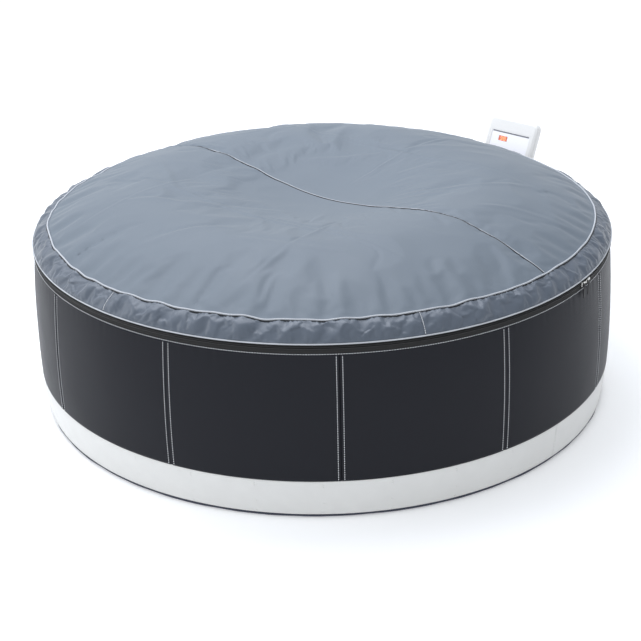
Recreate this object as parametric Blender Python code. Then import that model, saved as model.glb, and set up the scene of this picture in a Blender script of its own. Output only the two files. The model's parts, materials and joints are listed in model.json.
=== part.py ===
"""Inflatable round hot tub with a zipped lid and an outboard pump and heater console.

Metres, +Z up. The origin is on the ground at the centre of the tub, +Y points to the
console and +X runs along the seam across the lid.
"""

import math

import bmesh
import bpy
from mathutils import Matrix, Vector

# ---- driving dimensions -------------------------------------------------------------
WIDEST_RADIUS = 1.020  # outside of the jacket at its fullest
INNER_RADIUS = 0.800  # bathing space
MAT_THICKNESS = 0.010
BAND_TOP = 0.135  # where the pale base band meets the dark jacket
JACKET_TOP = 0.563  # stitch line under the zipper
ZIP_LINE = 0.5817  # where the two zipper tapes meet
SKIRT_BOTTOM = 0.597
SKIRT_RADIUS = 1.0050  # its foot, sewn to the zipper
RIM_SPRING = 0.5753  # where the rounded rim leaves the walls
RIM_CREST = 0.636
LID_RADIUS = 0.9475  # the lid's top edge
LID_EDGE = 0.648
LID_PEAK = 0.745
LID_PEAK_RADIUS = 0.585
LID_CENTRE = 0.682
LID_FALL = 1.6  # how late the lid's outer slope steepens
LID_UNDERSIDE = 0.622
LIFT_CLEARANCE = 0.0004  # half the gap between the lid's two halves
SHEET = 0.0012  # welded PVC sheet
CLOTH = 0.0010
JACKET_SHEET = 0.0015
AIR_GAP = 0.0003

TAPE_INSIDE, TAPE_OUTSIDE = 1.0035, 1.0050
MAT_RADIUS = 1.0030
FLOOR_RADIUS = 0.990
PAD_GAP = 0.0024  # from the lid's middle to each air pad

STEP = 7.5  # degrees between the vertices of every large ring

# The jacket has 12 panels: four wider ones on the front, the rest share what is left.
FRONT_SEAM = -44.9  # the middle one of the five front seams
FRONT_PANEL = 30.9
FRONT_PANELS = 4
PANELS = 12

# Console (pump, heater and blower housing) standing behind the tub.
CONSOLE_WIDTH = 0.234
CONSOLE_NEAR = 1.066  # the side that faces the tub
CONSOLE_FAR = 1.262
CONSOLE_WALL = 0.003
FACE_LOW = 0.460  # where the sloping control face starts
FACE_TOP_Y = 1.160
FACE_TOP = 0.682
HEAD_DEPTH = 0.038
HEAD_BACK = 0.140
SHOULDER = 0.465
SHELL_SPLIT = 1.215
CONSOLE_BEVEL = 0.012
HEAD_CORNER = 0.026  # rounding of the upper corners of the face

OVERLAY_SIZE = (0.180, 0.135)
OVERLAY_FROM_TOP = 0.058
OVERLAY_THICKNESS = 0.0030
DISPLAY_SIZE = (0.042, 0.020)
DISPLAY_AT = (-0.033, 0.087)  # across the face, and down from its top edge
BUTTON_RADIUS = 0.0060
BUTTON_HEIGHT = 0.0045
BUTTON_COLUMNS = (-0.055, 0.0, 0.055)
BUTTON_ROWS = {"upper": 0.145, "lower": 0.173}
BUTTON_NAMES = {
    "upper": ("heat", "filter", "bubble"),
    "lower": ("down", "lock", "up"),
}

# Through-wall connections: x, z, outside radius, bore radius
SUCTION = (-0.070, 0.200, 0.0200, 0.0160)
RETURN = (0.070, 0.200, 0.0200, 0.0160)
AIR = (0.0, 0.045, 0.0130, 0.0100)
PIPE_FAR_END = 1.0915
FILTER_FLANGE = 0.055
NOZZLE_FLANGE = 0.038
NUT_NEAR = 1.032
NUT_LENGTH = 0.026

VALVE_AZIMUTH = 120.0
VALVE_HEIGHT = 0.350
VALVE_PROUD = 0.0048  # how far the valve's flange stands out from the jacket
DRAIN_AZIMUTH = 150.0
DRAIN_HEIGHT = 0.100

# The two zipper sliders are parked nose to nose.
SLIDER_AZIMUTH = 8.7
SLIDER_OFFSET = 0.92
SLIDER_SIZE = (0.0070, 0.0280, 0.0140)  # radial, along the zipper, upright
SLIDER_INSIDE = 1.0056
PULL_LENGTH = 0.050
PULL_WIDTH = 0.011
PULL_THICKNESS = 0.0024
PULL_RADIUS = 1.0142


# ---- scene and material helpers ------------------------------------------------------
def clear_scene():
    """Remove whatever the file holds."""
    for old in list(bpy.data.objects):
        bpy.data.objects.remove(old, do_unlink=True)


def material(name, colour, roughness, metallic=0.0):
    """A Principled material with the part's own colour."""
    made = bpy.data.materials.get(name)
    if made is None:
        made = bpy.data.materials.new(name)
        made.use_nodes = True
        shader = made.node_tree.nodes["Principled BSDF"]
        shader.inputs["Base Color"].default_value = (*colour, 1.0)
        shader.inputs["Roughness"].default_value = roughness
        shader.inputs["Metallic"].default_value = metallic
        made.diffuse_color = (*colour, 1.0)
    return made


def finish_object(name, bm, look, smooth=True):
    """Turn a bmesh into a named object with outward faces."""
    bmesh.ops.remove_doubles(bm, verts=bm.verts, dist=1e-6)
    bmesh.ops.recalc_face_normals(bm, faces=bm.faces)
    mesh = bpy.data.meshes.new(name)
    bm.to_mesh(mesh)
    bm.free()
    if smooth:
        mesh.shade_smooth()
        mesh.set_sharp_from_angle(angle=math.radians(35))
    made = bpy.data.objects.new(name, mesh)
    bpy.context.scene.collection.objects.link(made)
    mesh.materials.append(material(*look))
    return made


def hide_cutter(cutter):
    """A cutter shapes other pieces and isn't one itself."""
    cutter.hide_render = True
    cutter.display_type = "WIRE"
    return cutter


def boolean(target, cutter, operation="DIFFERENCE"):
    """Cut target with a hidden cutter, or join the cutter to it."""
    modifier = target.modifiers.new(operation.lower() + "_" + cutter.name, "BOOLEAN")
    modifier.operation = operation
    modifier.solver = "EXACT"
    modifier.object = hide_cutter(cutter)


def add_bevel(target, width, segments=2, angle=40.0):
    """Round the edges that are sharper than angle."""
    modifier = target.modifiers.new("bevel", "BEVEL")
    modifier.width = width
    modifier.segments = segments
    modifier.limit_method = "ANGLE"
    modifier.angle_limit = math.radians(angle)


# ---- shape helpers -------------------------------------------------------------------
def revolve(name, profile, look, start=0.0, sweep=360.0, step=STEP):
    """Spin a closed (radius, height) outline about Z."""
    bm = bmesh.new()
    first = Matrix.Rotation(math.radians(start), 4, "Z")
    outline = bm.faces.new([bm.verts.new(first @ Vector((r, 0, z))) for r, z in profile])
    full = sweep > 359.9
    geometry = list(outline.edges) if full else [outline]
    if full:
        bm.faces.remove(outline)
    bmesh.ops.spin(
        bm,
        geom=geometry,
        cent=(0, 0, 0),
        axis=(0, 0, 1),
        angle=math.radians(sweep),
        steps=round(sweep / step),
        use_merge=full,
        use_normal_flip=False,
        use_duplicate=False,
    )
    bmesh.ops.remove_doubles(bm, verts=bm.verts, dist=1e-6)
    bmesh.ops.dissolve_degenerate(bm, edges=bm.edges, dist=1e-6)
    return finish_object(name, bm, look)


def lathe(name, profile, look, origin, axis, steps=24):
    """Spin a closed (distance along axis, radius) outline about an axis through origin."""
    bm = bmesh.new()
    outline = bm.faces.new([bm.verts.new((r, 0, along)) for along, r in profile])
    edges = list(outline.edges)
    bm.faces.remove(outline)
    bmesh.ops.spin(
        bm,
        geom=edges,
        cent=(0, 0, 0),
        axis=(0, 0, 1),
        angle=math.tau,
        steps=steps,
        use_merge=True,
    )
    bmesh.ops.remove_doubles(bm, verts=bm.verts, dist=1e-6)
    bmesh.ops.dissolve_degenerate(bm, edges=bm.edges, dist=1e-6)
    loose = [v for v in bm.verts if not v.link_faces]
    bmesh.ops.delete(bm, geom=loose, context="VERTS")
    made = finish_object(name, bm, look)
    made.rotation_mode = "QUATERNION"
    made.rotation_quaternion = Vector(axis).to_track_quat("Z", "Y")
    made.location = origin
    return made


def prism(name, outline, depth, look, smooth=False):
    """Extrude a closed outline of (x, y) points by depth along Z, centred on Z."""
    bm = bmesh.new()
    face = bm.faces.new([bm.verts.new((x, y, -depth / 2)) for x, y in outline])
    grown = bmesh.ops.extrude_face_region(bm, geom=[face])
    top = [g for g in grown["geom"] if isinstance(g, bmesh.types.BMVert)]
    bmesh.ops.translate(bm, verts=top, vec=(0, 0, depth))
    return finish_object(name, bm, look, smooth)


def block(name, size, look, location=(0, 0, 0)):
    """A rectangular block centred on location."""
    bm = bmesh.new()
    bmesh.ops.create_cube(bm, size=1.0, matrix=Matrix.Diagonal((*size, 1.0)))
    made = finish_object(name, bm, look, smooth=False)
    made.location = location
    return made


def rod(name, radius, start, end, look, steps=24):
    """A round bar between two points, used mostly as a cutter."""
    start = Vector(start)
    along = Vector(end) - start
    outline = [(0.0, 0.0), (0.0, radius), (along.length, radius), (along.length, 0.0)]
    return lathe(name, outline, look, start, along, steps)


def tube_outline(length, outside, bore):
    """The section of a plain tube, for lathe."""
    return [(0.0, bore), (0.0, outside), (length, outside), (length, bore)]


def shell_outline(outer, thickness, side=-1.0):
    """Close an open (radius, height) curve into a thin wall, thickened square to the curve."""
    inner = []
    for i, (r, z) in enumerate(outer):
        before = Vector(outer[max(i - 1, 0)])
        after = Vector(outer[min(i + 1, len(outer) - 1)])
        along = (after - before).normalized()
        inner.append((r + side * along.y * thickness, z - side * along.x * thickness))
    return list(outer) + inner[::-1]


def polar(radius, azimuth, height):
    """A point by radius, azimuth in degrees and height."""
    turn = math.radians(azimuth)
    return Vector((radius * math.cos(turn), radius * math.sin(turn), height))


def inset(outline, distance):
    """Move every side of an outline inwards, keeping its corners sharp."""
    count = len(outline)
    area = sum(
        outline[i][0] * outline[(i + 1) % count][1]
        - outline[(i + 1) % count][0] * outline[i][1]
        for i in range(count)
    )
    turn = 1.0 if area > 0 else -1.0
    moved = []
    for i in range(count):
        here = Vector(outline[i])
        back = (here - Vector(outline[i - 1])).normalized()
        ahead = (Vector(outline[(i + 1) % count]) - here).normalized()
        normal_back = Vector((-back.y, back.x)) * turn
        normal_ahead = Vector((-ahead.y, ahead.x)) * turn
        bisector = (normal_back + normal_ahead).normalized()
        moved.append(tuple(here + bisector * (distance / bisector.dot(normal_back))))
    return moved


# ---- looks ---------------------------------------------------------------------------
LEATHERETTE = ("black_leatherette", (0.030, 0.031, 0.035), 0.5)
WHITE_PVC = ("white_pvc", (0.80, 0.82, 0.85), 0.35)
GREY_PVC = ("grey_pvc", (0.52, 0.54, 0.57), 0.4)
NAVY_MAT = ("navy_mat", (0.05, 0.055, 0.09), 0.7)
LID_CLOTH = ("slate_cloth", (0.28, 0.33, 0.39), 0.55)
FOIL = ("foil_film", (0.72, 0.73, 0.74), 0.35, 0.6)
TAPE = ("zipper_tape", (0.010, 0.010, 0.011), 0.7)
NICKEL = ("nickel", (0.72, 0.72, 0.70), 0.2, 1.0)
RUBBER = ("dark_rubber", (0.06, 0.06, 0.065), 0.7)
CONSOLE_WHITE = ("console_white", (0.85, 0.86, 0.87), 0.3)
OVERLAY_LILAC = ("overlay_film", (0.76, 0.77, 0.83), 0.25)
DISPLAY_RED = ("display_red", (0.65, 0.12, 0.07), 0.2)
BUTTON_GREY = ("button_grey", (0.35, 0.37, 0.41), 0.4)
PIPE_GREY = ("pipe_grey", (0.30, 0.32, 0.34), 0.5)
FILTER_PAPER = ("filter_fleece", (0.88, 0.89, 0.90), 0.9)
MOTOR_BLACK = ("motor_black", (0.03, 0.03, 0.03), 0.5)
STEEL = ("heater_steel", (0.55, 0.55, 0.55), 0.3, 1.0)
BOARD_GREEN = ("board_green", (0.02, 0.18, 0.07), 0.5)


# ---- shapes of the tub ---------------------------------------------------------------
def jacket_radius(height):
    """Outside radius of the jacket, fullest a quarter of a metre up."""
    fullest, span, fall = 0.25, 0.35, 0.020
    return WIDEST_RADIUS - fall * ((height - fullest) / span) ** 2


def band_radius(height):
    """Outside radius of the base band, which leans in towards the ground."""
    foot, top = 1.0040, 1.0165
    share = (height - MAT_THICKNESS) / (BAND_TOP - MAT_THICKNESS)
    return foot + (top - foot) * math.sin(share * math.pi / 2)


def wall_radius(height):
    """Outside radius of the air chamber's outer sheet, behind jacket and band."""
    clear = JACKET_SHEET + 0.0035
    outside = band_radius(height) if height < BAND_TOP else jacket_radius(height)
    return outside - clear


def lid_height(radius):
    """Top of the lid: a shallow dish inside a raised ring that falls to the edge."""
    if radius < LID_PEAK_RADIUS:
        share = radius / LID_PEAK_RADIUS
        return LID_CENTRE + (LID_PEAK - LID_CENTRE) * (1 - math.cos(share * math.pi)) / 2
    share = (radius - LID_PEAK_RADIUS) / (LID_RADIUS - LID_PEAK_RADIUS)
    return LID_PEAK - (LID_PEAK - LID_EDGE) * share**LID_FALL


def fitting_face(at, flange):
    """The flat plane where a flange on the bathing side clears the faceted inner wall."""
    apothem = INNER_RADIUS * math.cos(math.radians(STEP / 2))
    return math.sqrt(apothem**2 - (abs(at[0]) + flange) ** 2) - AIR_GAP


def seam_azimuths():
    """Azimuths of the twelve upright seams of the jacket."""
    first = FRONT_SEAM - FRONT_PANEL * FRONT_PANELS / 2
    front = [first + FRONT_PANEL * i for i in range(FRONT_PANELS + 1)]
    rear_panels = PANELS - FRONT_PANELS
    rear_panel = (360.0 - FRONT_PANEL * FRONT_PANELS) / rear_panels
    return front + [front[-1] + rear_panel * i for i in range(1, rear_panels)]


def make_ground_mat():
    """Padded mat between the tub and the ground."""
    outline = [(0, 0), (MAT_RADIUS, 0), (MAT_RADIUS, MAT_THICKNESS), (0, MAT_THICKNESS)]
    revolve("ground_mat", outline, NAVY_MAT)


def make_floor_sheet():
    """Floor of the bathing space. Returns the height where the walls stand on it."""
    low = MAT_THICKNESS + AIR_GAP
    outline = [(0, low), (FLOOR_RADIUS, low), (FLOOR_RADIUS, low + SHEET), (0, low + SHEET)]
    revolve("floor_sheet", outline, GREY_PVC)
    return low + SHEET + AIR_GAP


def make_walls(floor_top):
    """The air chamber's sheets, the pale band and the drum of the inner wall."""
    heights = [floor_top, 0.07, BAND_TOP, 0.28, 0.42, RIM_SPRING - AIR_GAP]
    outer = [(wall_radius(z), z) for z in heights]
    wall = revolve("outer_wall_sheet", shell_outline(outer, SHEET), GREY_PVC)

    low = MAT_THICKNESS + AIR_GAP
    band_heights = [low, 0.045, 0.085, BAND_TOP - 2 * AIR_GAP]
    band = [(band_radius(z), z) for z in band_heights]
    base_band = revolve("base_band", shell_outline(band, JACKET_SHEET), WHITE_PVC)

    top = RIM_SPRING - AIR_GAP
    drum = [
        (INNER_RADIUS, floor_top),
        (INNER_RADIUS + SHEET, floor_top),
        (INNER_RADIUS + SHEET, top),
        (INNER_RADIUS, top),
    ]
    inner = revolve("inner_wall_sheet", drum, GREY_PVC)
    return wall, base_band, inner


def make_rim_sheet():
    """The rounded rim that joins the outer and inner walls."""
    outside = wall_radius(RIM_SPRING)
    middle = (outside + INNER_RADIUS) / 2
    half = (outside - INNER_RADIUS) / 2
    rise = RIM_CREST - RIM_SPRING
    points = 9
    arc = []
    for i in range(points):
        turn = math.pi * i / (points - 1)
        arc.append((middle + half * math.cos(turn), RIM_SPRING + rise * math.sin(turn)))
    revolve("rim_sheet", shell_outline(arc, SHEET, side=1.0), GREY_PVC)


def make_tie_web():
    """Folded web that holds the two walls parallel, left out where the pipes pass."""
    low, high = 0.150, 0.550
    thick = 0.0010
    near, far = INNER_RADIUS + 0.006, 0.990
    first, folds = 112.5, 42
    bm = bmesh.new()
    path = []
    for i in range(folds + 1):
        radius = near if i % 2 else far
        path.append(bm.verts.new(polar(radius, first + STEP * i, low)))
    edges = [bm.edges.new(pair) for pair in zip(path, path[1:])]
    grown = bmesh.ops.extrude_edge_only(bm, edges=edges)
    top = [g for g in grown["geom"] if isinstance(g, bmesh.types.BMVert)]
    bmesh.ops.translate(bm, verts=top, vec=(0, 0, high - low))
    web = finish_object("tie_web", bm, GREY_PVC, smooth=False)
    wall = web.modifiers.new("sheet", "SOLIDIFY")
    wall.thickness = thick
    wall.offset = 0.0


def make_bubble_ring(floor_top):
    """Quarter-round air channel in the corner of the bathing space."""
    outside = INNER_RADIUS - 0.0010
    width, height, points = 0.046, 0.048, 5
    arc = []
    for i in range(points):
        turn = math.pi / 2 * i / (points - 1)
        radius = outside - width * math.sin(turn)
        arc.append((radius, floor_top + SHEET + height * math.cos(turn)))
    revolve("bubble_ring", shell_outline(arc, SHEET, side=-1.0), GREY_PVC)


def make_jacket():
    """Six sewn pairs of panels. Returns them with the azimuths where they start and end."""
    seams = seam_azimuths()
    heights = [BAND_TOP, 0.22, 0.33, 0.45, JACKET_TOP]
    outer = [(jacket_radius(z), z) for z in heights]
    outline = shell_outline(outer, JACKET_SHEET)
    half_gap = 0.02
    sections = []
    for i in range(0, len(seams), 2):
        start = seams[i]
        end = seams[i + 2] if i + 2 < len(seams) else seams[0] + 360.0
        sweep = end - start - 2 * half_gap
        name = f"jacket_section_{i // 2 + 1}"
        made = revolve(name, outline, LEATHERETTE, start + half_gap, sweep, sweep / 8)
        sections.append((made, start, end))
    return sections


def zipper_tape(name, low, high, start, sweep, y_shift=0.0):
    """One woven half of the zipper, with its row of teeth as a thicker edge."""
    outline = [(TAPE_INSIDE, low), (TAPE_OUTSIDE, low), (TAPE_OUTSIDE, high), (TAPE_INSIDE, high)]
    made = revolve(name, outline, TAPE, start, sweep)
    made.location.y = y_shift
    return made


# ---- lid -----------------------------------------------------------------------------
def half(start):
    """Shift that keeps a half of the lid clear of the other one."""
    return -LIFT_CLEARANCE if start < 0 else LIFT_CLEARANCE


def make_lid_half(side, start):
    """Top cloth, skirt, air bladder, foil liner and zipper tape of one half of the lid."""
    shift = half(start)
    radii = [0.0, 0.12, 0.25, 0.38, 0.49, LID_PEAK_RADIUS, 0.70, 0.80, 0.88, LID_RADIUS]
    top = [(r, lid_height(r)) for r in radii]
    under = [(r, z - CLOTH) for r, z in top]
    cloth = revolve(f"lid_{side}_top", top + under[::-1], LID_CLOTH, start, 180.0)
    cloth.location.y = shift

    foot = (SKIRT_RADIUS, SKIRT_BOTTOM + CLOTH)
    head = (LID_RADIUS + 0.0010, LID_EDGE - CLOTH - AIR_GAP)
    middle = ((foot[0] + head[0]) / 2 + 0.004, (foot[1] + head[1]) / 2 + 0.004)
    outline = shell_outline([foot, middle, head], CLOTH)
    skirt = revolve(f"lid_{side}_skirt", outline, LID_CLOTH, start, 180.0)
    skirt.location.y = shift

    make_bladder(side, start)

    over_rim = [
        (0.0, LID_UNDERSIDE),
        (0.770, LID_UNDERSIDE),
        (0.805, 0.6250),
        (0.850, 0.6330),
        (0.900, 0.6390),
        (0.936, 0.6370),
    ]
    raised = [(r, z + CLOTH) for r, z in over_rim]
    liner = revolve(f"lid_{side}_liner", over_rim + raised[::-1], FOIL, start, 180.0)
    liner.location.y = shift

    zipper_tape(
        f"zipper_tape_lid_{side}",
        ZIP_LINE + AIR_GAP,
        SKIRT_BOTTOM - AIR_GAP,
        start,
        180.0,
        shift,
    )


def make_bladder(side, start):
    """Half-moon air bladder that insulates the lid, open at its filler."""
    wall = 0.0009
    clear = 0.0040
    low = LID_UNDERSIDE + CLOTH + 0.0008
    radius, corner = 0.800, 0.028
    outline = [(0.0, low), (radius - 0.045, low), (radius - 0.012, low + 0.014)]
    outline += [(radius, low + 0.038), (radius - corner / 2, lid_height(radius) - clear - 0.012)]
    over = (0.76, 0.68, LID_PEAK_RADIUS, 0.45, 0.30, 0.15, 0.0)
    outline += [(r, lid_height(r) - clear) for r in over]
    made = revolve(f"bladder_{side}", outline, GREY_PVC, start, 180.0)
    made.location.y = math.copysign(PAD_GAP, half(start))
    open_filler(made)
    shell = made.modifiers.new("sheet", "SOLIDIFY")
    shell.thickness = wall
    shell.offset = -1.0
    shell.use_even_offset = True


def open_filler(bladder):
    """Leave out the one triangle of the flat side where the filler goes."""
    bm = bmesh.new()
    bm.from_mesh(bladder.data)
    bmesh.ops.triangulate(bm, faces=bm.faces)
    upright = [f for f in bm.faces if abs(f.normal.y) > 0.99]
    chosen = max(upright, key=lambda f: f.calc_area() * (f.calc_center_median().x > 0.2))
    centre = chosen.calc_center_median()
    bmesh.ops.inset_individual(bm, faces=[chosen], thickness=0.008, depth=0.0)
    inner = min(bm.faces, key=lambda f: (f.calc_center_median() - centre).length)
    bmesh.ops.delete(bm, geom=[inner], context="FACES")
    bm.to_mesh(bladder.data)
    bm.free()


# ---- fittings through the wall -------------------------------------------------------
def make_pipe(name, at, near_end):
    """A straight tube from the bathing side to the console."""
    x, z, outside, bore = at
    outline = tube_outline(PIPE_FAR_END - near_end, outside, bore)
    return lathe(name, outline, PIPE_GREY, (x, near_end, z), (0, 1, 0), 16)


def cut_for_pipe(targets, at, near, far):
    """A round hole with clearance through each sheet that the pipe passes."""
    x, z, outside, _ = at
    cutter = rod(
        f"cutter_{targets[0].name}_{x:.2f}_{z:.2f}",
        outside + 0.0010,
        (x, near, z),
        (x, far, z),
        PIPE_GREY,
        16,
    )
    for target in targets:
        boolean(target, cutter)


def make_union_nut(name, at):
    """Hand nut with eight grip lobes between the tub and the console."""
    x, z, pipe, _ = at
    lobes, bore, root, crest = 8, pipe + 0.0006, pipe + 0.0105, pipe + 0.0140
    outline = []
    for i in range(lobes * 4):
        turn = math.tau * i / (lobes * 4)
        radius = crest if i % 4 < 2 else root
        outline.append((radius * math.cos(turn), radius * math.sin(turn)))
    nut = prism(name, outline, NUT_LENGTH, PIPE_GREY)
    nut.rotation_euler = (math.radians(-90), 0, 0)
    nut.location = (x, NUT_NEAR + NUT_LENGTH / 2, z)
    drill = rod(f"cutter_{name}", bore, (x, NUT_NEAR - 0.01, z), (x, NUT_NEAR + 0.05, z), PIPE_GREY, 16)
    boolean(nut, drill)


def make_filter(wall_face):
    """Base, pleated cartridge and cap on the suction side."""
    x, z, _, bore = SUCTION
    flange, hub, hub_length, flange_thick = FILTER_FLANGE, 0.030, 0.025, 0.005
    outline = [
        (0.0, bore),
        (0.0, flange),
        (flange_thick, flange),
        (flange_thick, hub),
        (hub_length, hub),
        (hub_length, bore),
    ]
    lathe("filter_base", outline, PIPE_GREY, (x, wall_face, z), (0, -1, 0), 20)

    pleats, crest, root, length = 22, 0.0520, 0.0440, 0.100
    star = []
    for i in range(pleats * 2):
        turn = math.tau * i / (pleats * 2)
        radius = root if i % 2 else crest
        star.append((radius * math.cos(turn), radius * math.sin(turn)))
    near = wall_face - flange_thick - 0.0005
    cartridge = prism("filter_cartridge", star, length, FILTER_PAPER)
    cartridge.rotation_euler = (math.radians(-90), 0, 0)
    cartridge.location = (x, near - length / 2, z)
    ends = (x, near + 0.01, z), (x, near - length - 0.01, z)
    core = rod("cutter_cartridge", hub + 0.0008, *ends, FILTER_PAPER, 20)
    boolean(cartridge, core)

    cap_face = near - length - 0.0005
    cap_radius, cap_length, plug = 0.0560, 0.014, 0.0290
    cap = [
        (-0.012, 0.0),
        (-0.012, plug),
        (0.0, plug),
        (0.0, cap_radius),
        (cap_length, cap_radius - 0.004),
        (cap_length, 0.0),
    ]
    lathe("filter_cap", cap, PIPE_GREY, (x, cap_face, z), (0, -1, 0), 20)


def make_return_nozzle(wall_face):
    """Flanged outlet that points the warm water into the tub."""
    x, z, _, bore = RETURN
    outline = [
        (0.0, bore),
        (0.0, NOZZLE_FLANGE),
        (0.005, NOZZLE_FLANGE),
        (0.010, 0.026),
        (0.034, 0.021),
        (0.034, bore),
    ]
    lathe("return_nozzle", outline, PIPE_GREY, (x, wall_face, z), (0, -1, 0), 20)


def make_inflation_valve(section, wall):
    """Flanged valve body in the jacket, and its pull-off cap."""
    surface = jacket_radius(VALVE_HEIGHT)
    out = polar(1.0, VALVE_AZIMUTH, 0.0)
    neck, bore, flange = 0.0180, 0.0110, 0.0270
    inside = surface - 0.030
    length = surface + VALVE_PROUD - inside
    outline = [
        (0.0, bore),
        (0.0, neck),
        (length - 0.003, neck),
        (length - 0.003, flange),
        (length, flange),
        (length, bore),
    ]
    start = polar(inside, VALVE_AZIMUTH, VALVE_HEIGHT)
    lathe("inflation_valve_body", outline, PIPE_GREY, start, out, 20)
    cutter = rod(
        "cutter_inflation_valve",
        neck + 0.0008,
        polar(inside - 0.02, VALVE_AZIMUTH, VALVE_HEIGHT),
        polar(surface + 0.02, VALVE_AZIMUTH, VALVE_HEIGHT),
        PIPE_GREY,
        20,
    )
    boolean(section, cutter)
    boolean(wall, cutter)
    plug = [(-0.012, 0.0), (-0.012, bore - 0.0012), (0.0, bore - 0.0012)]
    plug += [(0.0, 0.0240), (0.006, 0.0240), (0.009, 0.0200), (0.009, 0.0)]
    seat = polar(surface + VALVE_PROUD + AIR_GAP, VALVE_AZIMUTH, VALVE_HEIGHT)
    lathe("inflation_valve_cap", plug, PIPE_GREY, seat, out, 20)


def make_drain(band, wall, inner):
    """Drain tube through the whole wall low down, and the cap on its outer end."""
    surface = band_radius(DRAIN_HEIGHT)
    out = polar(1.0, DRAIN_AZIMUTH, 0.0)
    inside = INNER_RADIUS - 0.010
    outside, bore, flange = 0.0150, 0.0115, 0.0240
    length = surface + 0.026 - inside
    seat = surface + 0.0012 - inside
    outline = [
        (0.0, bore),
        (0.0, outside),
        (seat, outside),
        (seat, flange),
        (seat + 0.003, flange),
        (seat + 0.003, outside),
        (length, outside),
        (length, bore),
    ]
    start = polar(inside, DRAIN_AZIMUTH, DRAIN_HEIGHT)
    lathe("drain_valve_body", outline, PIPE_GREY, start, out, 20)
    cutter = rod(
        "cutter_drain",
        outside + 0.0010,
        polar(inside - 0.01, DRAIN_AZIMUTH, DRAIN_HEIGHT),
        polar(surface + 0.03, DRAIN_AZIMUTH, DRAIN_HEIGHT),
        PIPE_GREY,
        20,
    )
    for sheet in (band, wall, inner):
        boolean(sheet, cutter)
    # The cap is a cup over the tube's end.
    cup, cup_wall = outside + 0.0008, 0.0035
    depth, end = 0.021, 0.005
    cap = [
        (0.0, cup),
        (0.0, cup + cup_wall),
        (depth + end, cup + cup_wall),
        (depth + end, 0.0),
        (depth, 0.0),
        (depth, cup),
    ]
    cap_start = polar(surface + 0.0052, DRAIN_AZIMUTH, DRAIN_HEIGHT)
    lathe("drain_valve_cap", cap, PIPE_GREY, cap_start, out, 20)


# ---- zipper sliders ------------------------------------------------------------------
def make_slider(name, azimuth, nose):
    """Slider body that narrows towards its nose, and its hanging pull."""
    thick, length, height = SLIDER_SIZE
    outline = [
        (-length / 2 * nose, -height / 2),
        (length / 2 * nose, -height * 0.32),
        (length / 2 * nose, height * 0.32),
        (-length / 2 * nose, height / 2),
    ]
    body = prism(name, outline, thick, NICKEL)
    add_bevel(body, 0.0012, 2)
    turn = math.radians(azimuth)
    # Local x runs along the zipper, y up and z outwards.
    frame = Matrix(
        (
            (-math.sin(turn), 0.0, math.cos(turn)),
            (math.cos(turn), 0.0, math.sin(turn)),
            (0.0, 1.0, 0.0),
        )
    ).to_4x4()
    at = polar(SLIDER_INSIDE + thick / 2, azimuth, ZIP_LINE)
    body.matrix_world = Matrix.Translation(at) @ frame

    pull_top = ZIP_LINE + 0.002
    outline = [
        (-PULL_WIDTH * 0.32, 0.0),
        (PULL_WIDTH * 0.32, 0.0),
        (PULL_WIDTH / 2, -PULL_LENGTH * 0.45),
        (PULL_WIDTH / 2, -PULL_LENGTH * 0.9),
        (PULL_WIDTH * 0.3, -PULL_LENGTH),
        (-PULL_WIDTH * 0.3, -PULL_LENGTH),
        (-PULL_WIDTH / 2, -PULL_LENGTH * 0.9),
        (-PULL_WIDTH / 2, -PULL_LENGTH * 0.45),
    ]
    pull = prism(name + "_pull", outline, PULL_THICKNESS, RUBBER)
    pull_at = polar(PULL_RADIUS + PULL_THICKNESS / 2, azimuth, pull_top)
    pull.matrix_world = Matrix.Translation(pull_at) @ frame


# ---- console -------------------------------------------------------------------------
def face_tilt():
    """How far the control face leans back from upright."""
    return math.atan2(FACE_TOP_Y - CONSOLE_NEAR, FACE_TOP - FACE_LOW)


def face_point(across, down, out=0.0):
    """A point on the control face: across it, down from its top edge, and out from it."""
    tilt = face_tilt()
    y = FACE_TOP_Y - down * math.sin(tilt) - out * math.cos(tilt)
    z = FACE_TOP - down * math.cos(tilt) + out * math.sin(tilt)
    return Vector((across, y, z))


def face_matrix(across, down, out=0.0):
    """Frame on the control face: x across, y up the face, z out of it."""
    tilt = face_tilt()
    frame = Matrix(
        (
            (1.0, 0.0, 0.0),
            (0.0, math.sin(tilt), -math.cos(tilt)),
            (0.0, math.cos(tilt), math.sin(tilt)),
        )
    ).to_4x4()
    return Matrix.Translation(face_point(across, down, out)) @ frame


def console_outline():
    """Side view of the console as (y, z) points."""
    tilt = face_tilt()
    back = (FACE_TOP_Y + HEAD_DEPTH * math.cos(tilt), FACE_TOP - HEAD_DEPTH * math.sin(tilt))
    neck = (back[0] - HEAD_BACK * math.sin(tilt), back[1] - HEAD_BACK * math.cos(tilt))
    return [
        (CONSOLE_NEAR, 0.0),
        (CONSOLE_FAR, 0.0),
        (CONSOLE_FAR, SHOULDER),
        neck,
        back,
        (FACE_TOP_Y, FACE_TOP),
        (CONSOLE_NEAR, FACE_LOW),
    ]


def console_solid(name, outline, width, bevel, corner):
    """Prism of the side view, standing upright and centred on X, with its edges rounded."""
    made = prism(name, outline, width, CONSOLE_WHITE, smooth=True)
    shape = bmesh.new()
    shape.from_mesh(made.data)
    corners = [
        e for e in shape.edges
        if min(v.co.y for v in e.verts) > SHOULDER + HEAD_BACK and abs(e.verts[0].co.z - e.verts[1].co.z) < AIR_GAP
    ]
    bmesh.ops.bevel(shape, geom=corners, offset=corner, segments=4, profile=0.5, affect="EDGES")
    shape.to_mesh(made.data)
    shape.free()
    # The prism's x, y, z become the world's y, z, x.
    made.matrix_world = Matrix(((0, 0, 1, 0), (1, 0, 0, 0), (0, 1, 0, 0), (0, 0, 0, 1)))
    add_bevel(made, bevel, 2, 25.0)
    return made


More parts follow.
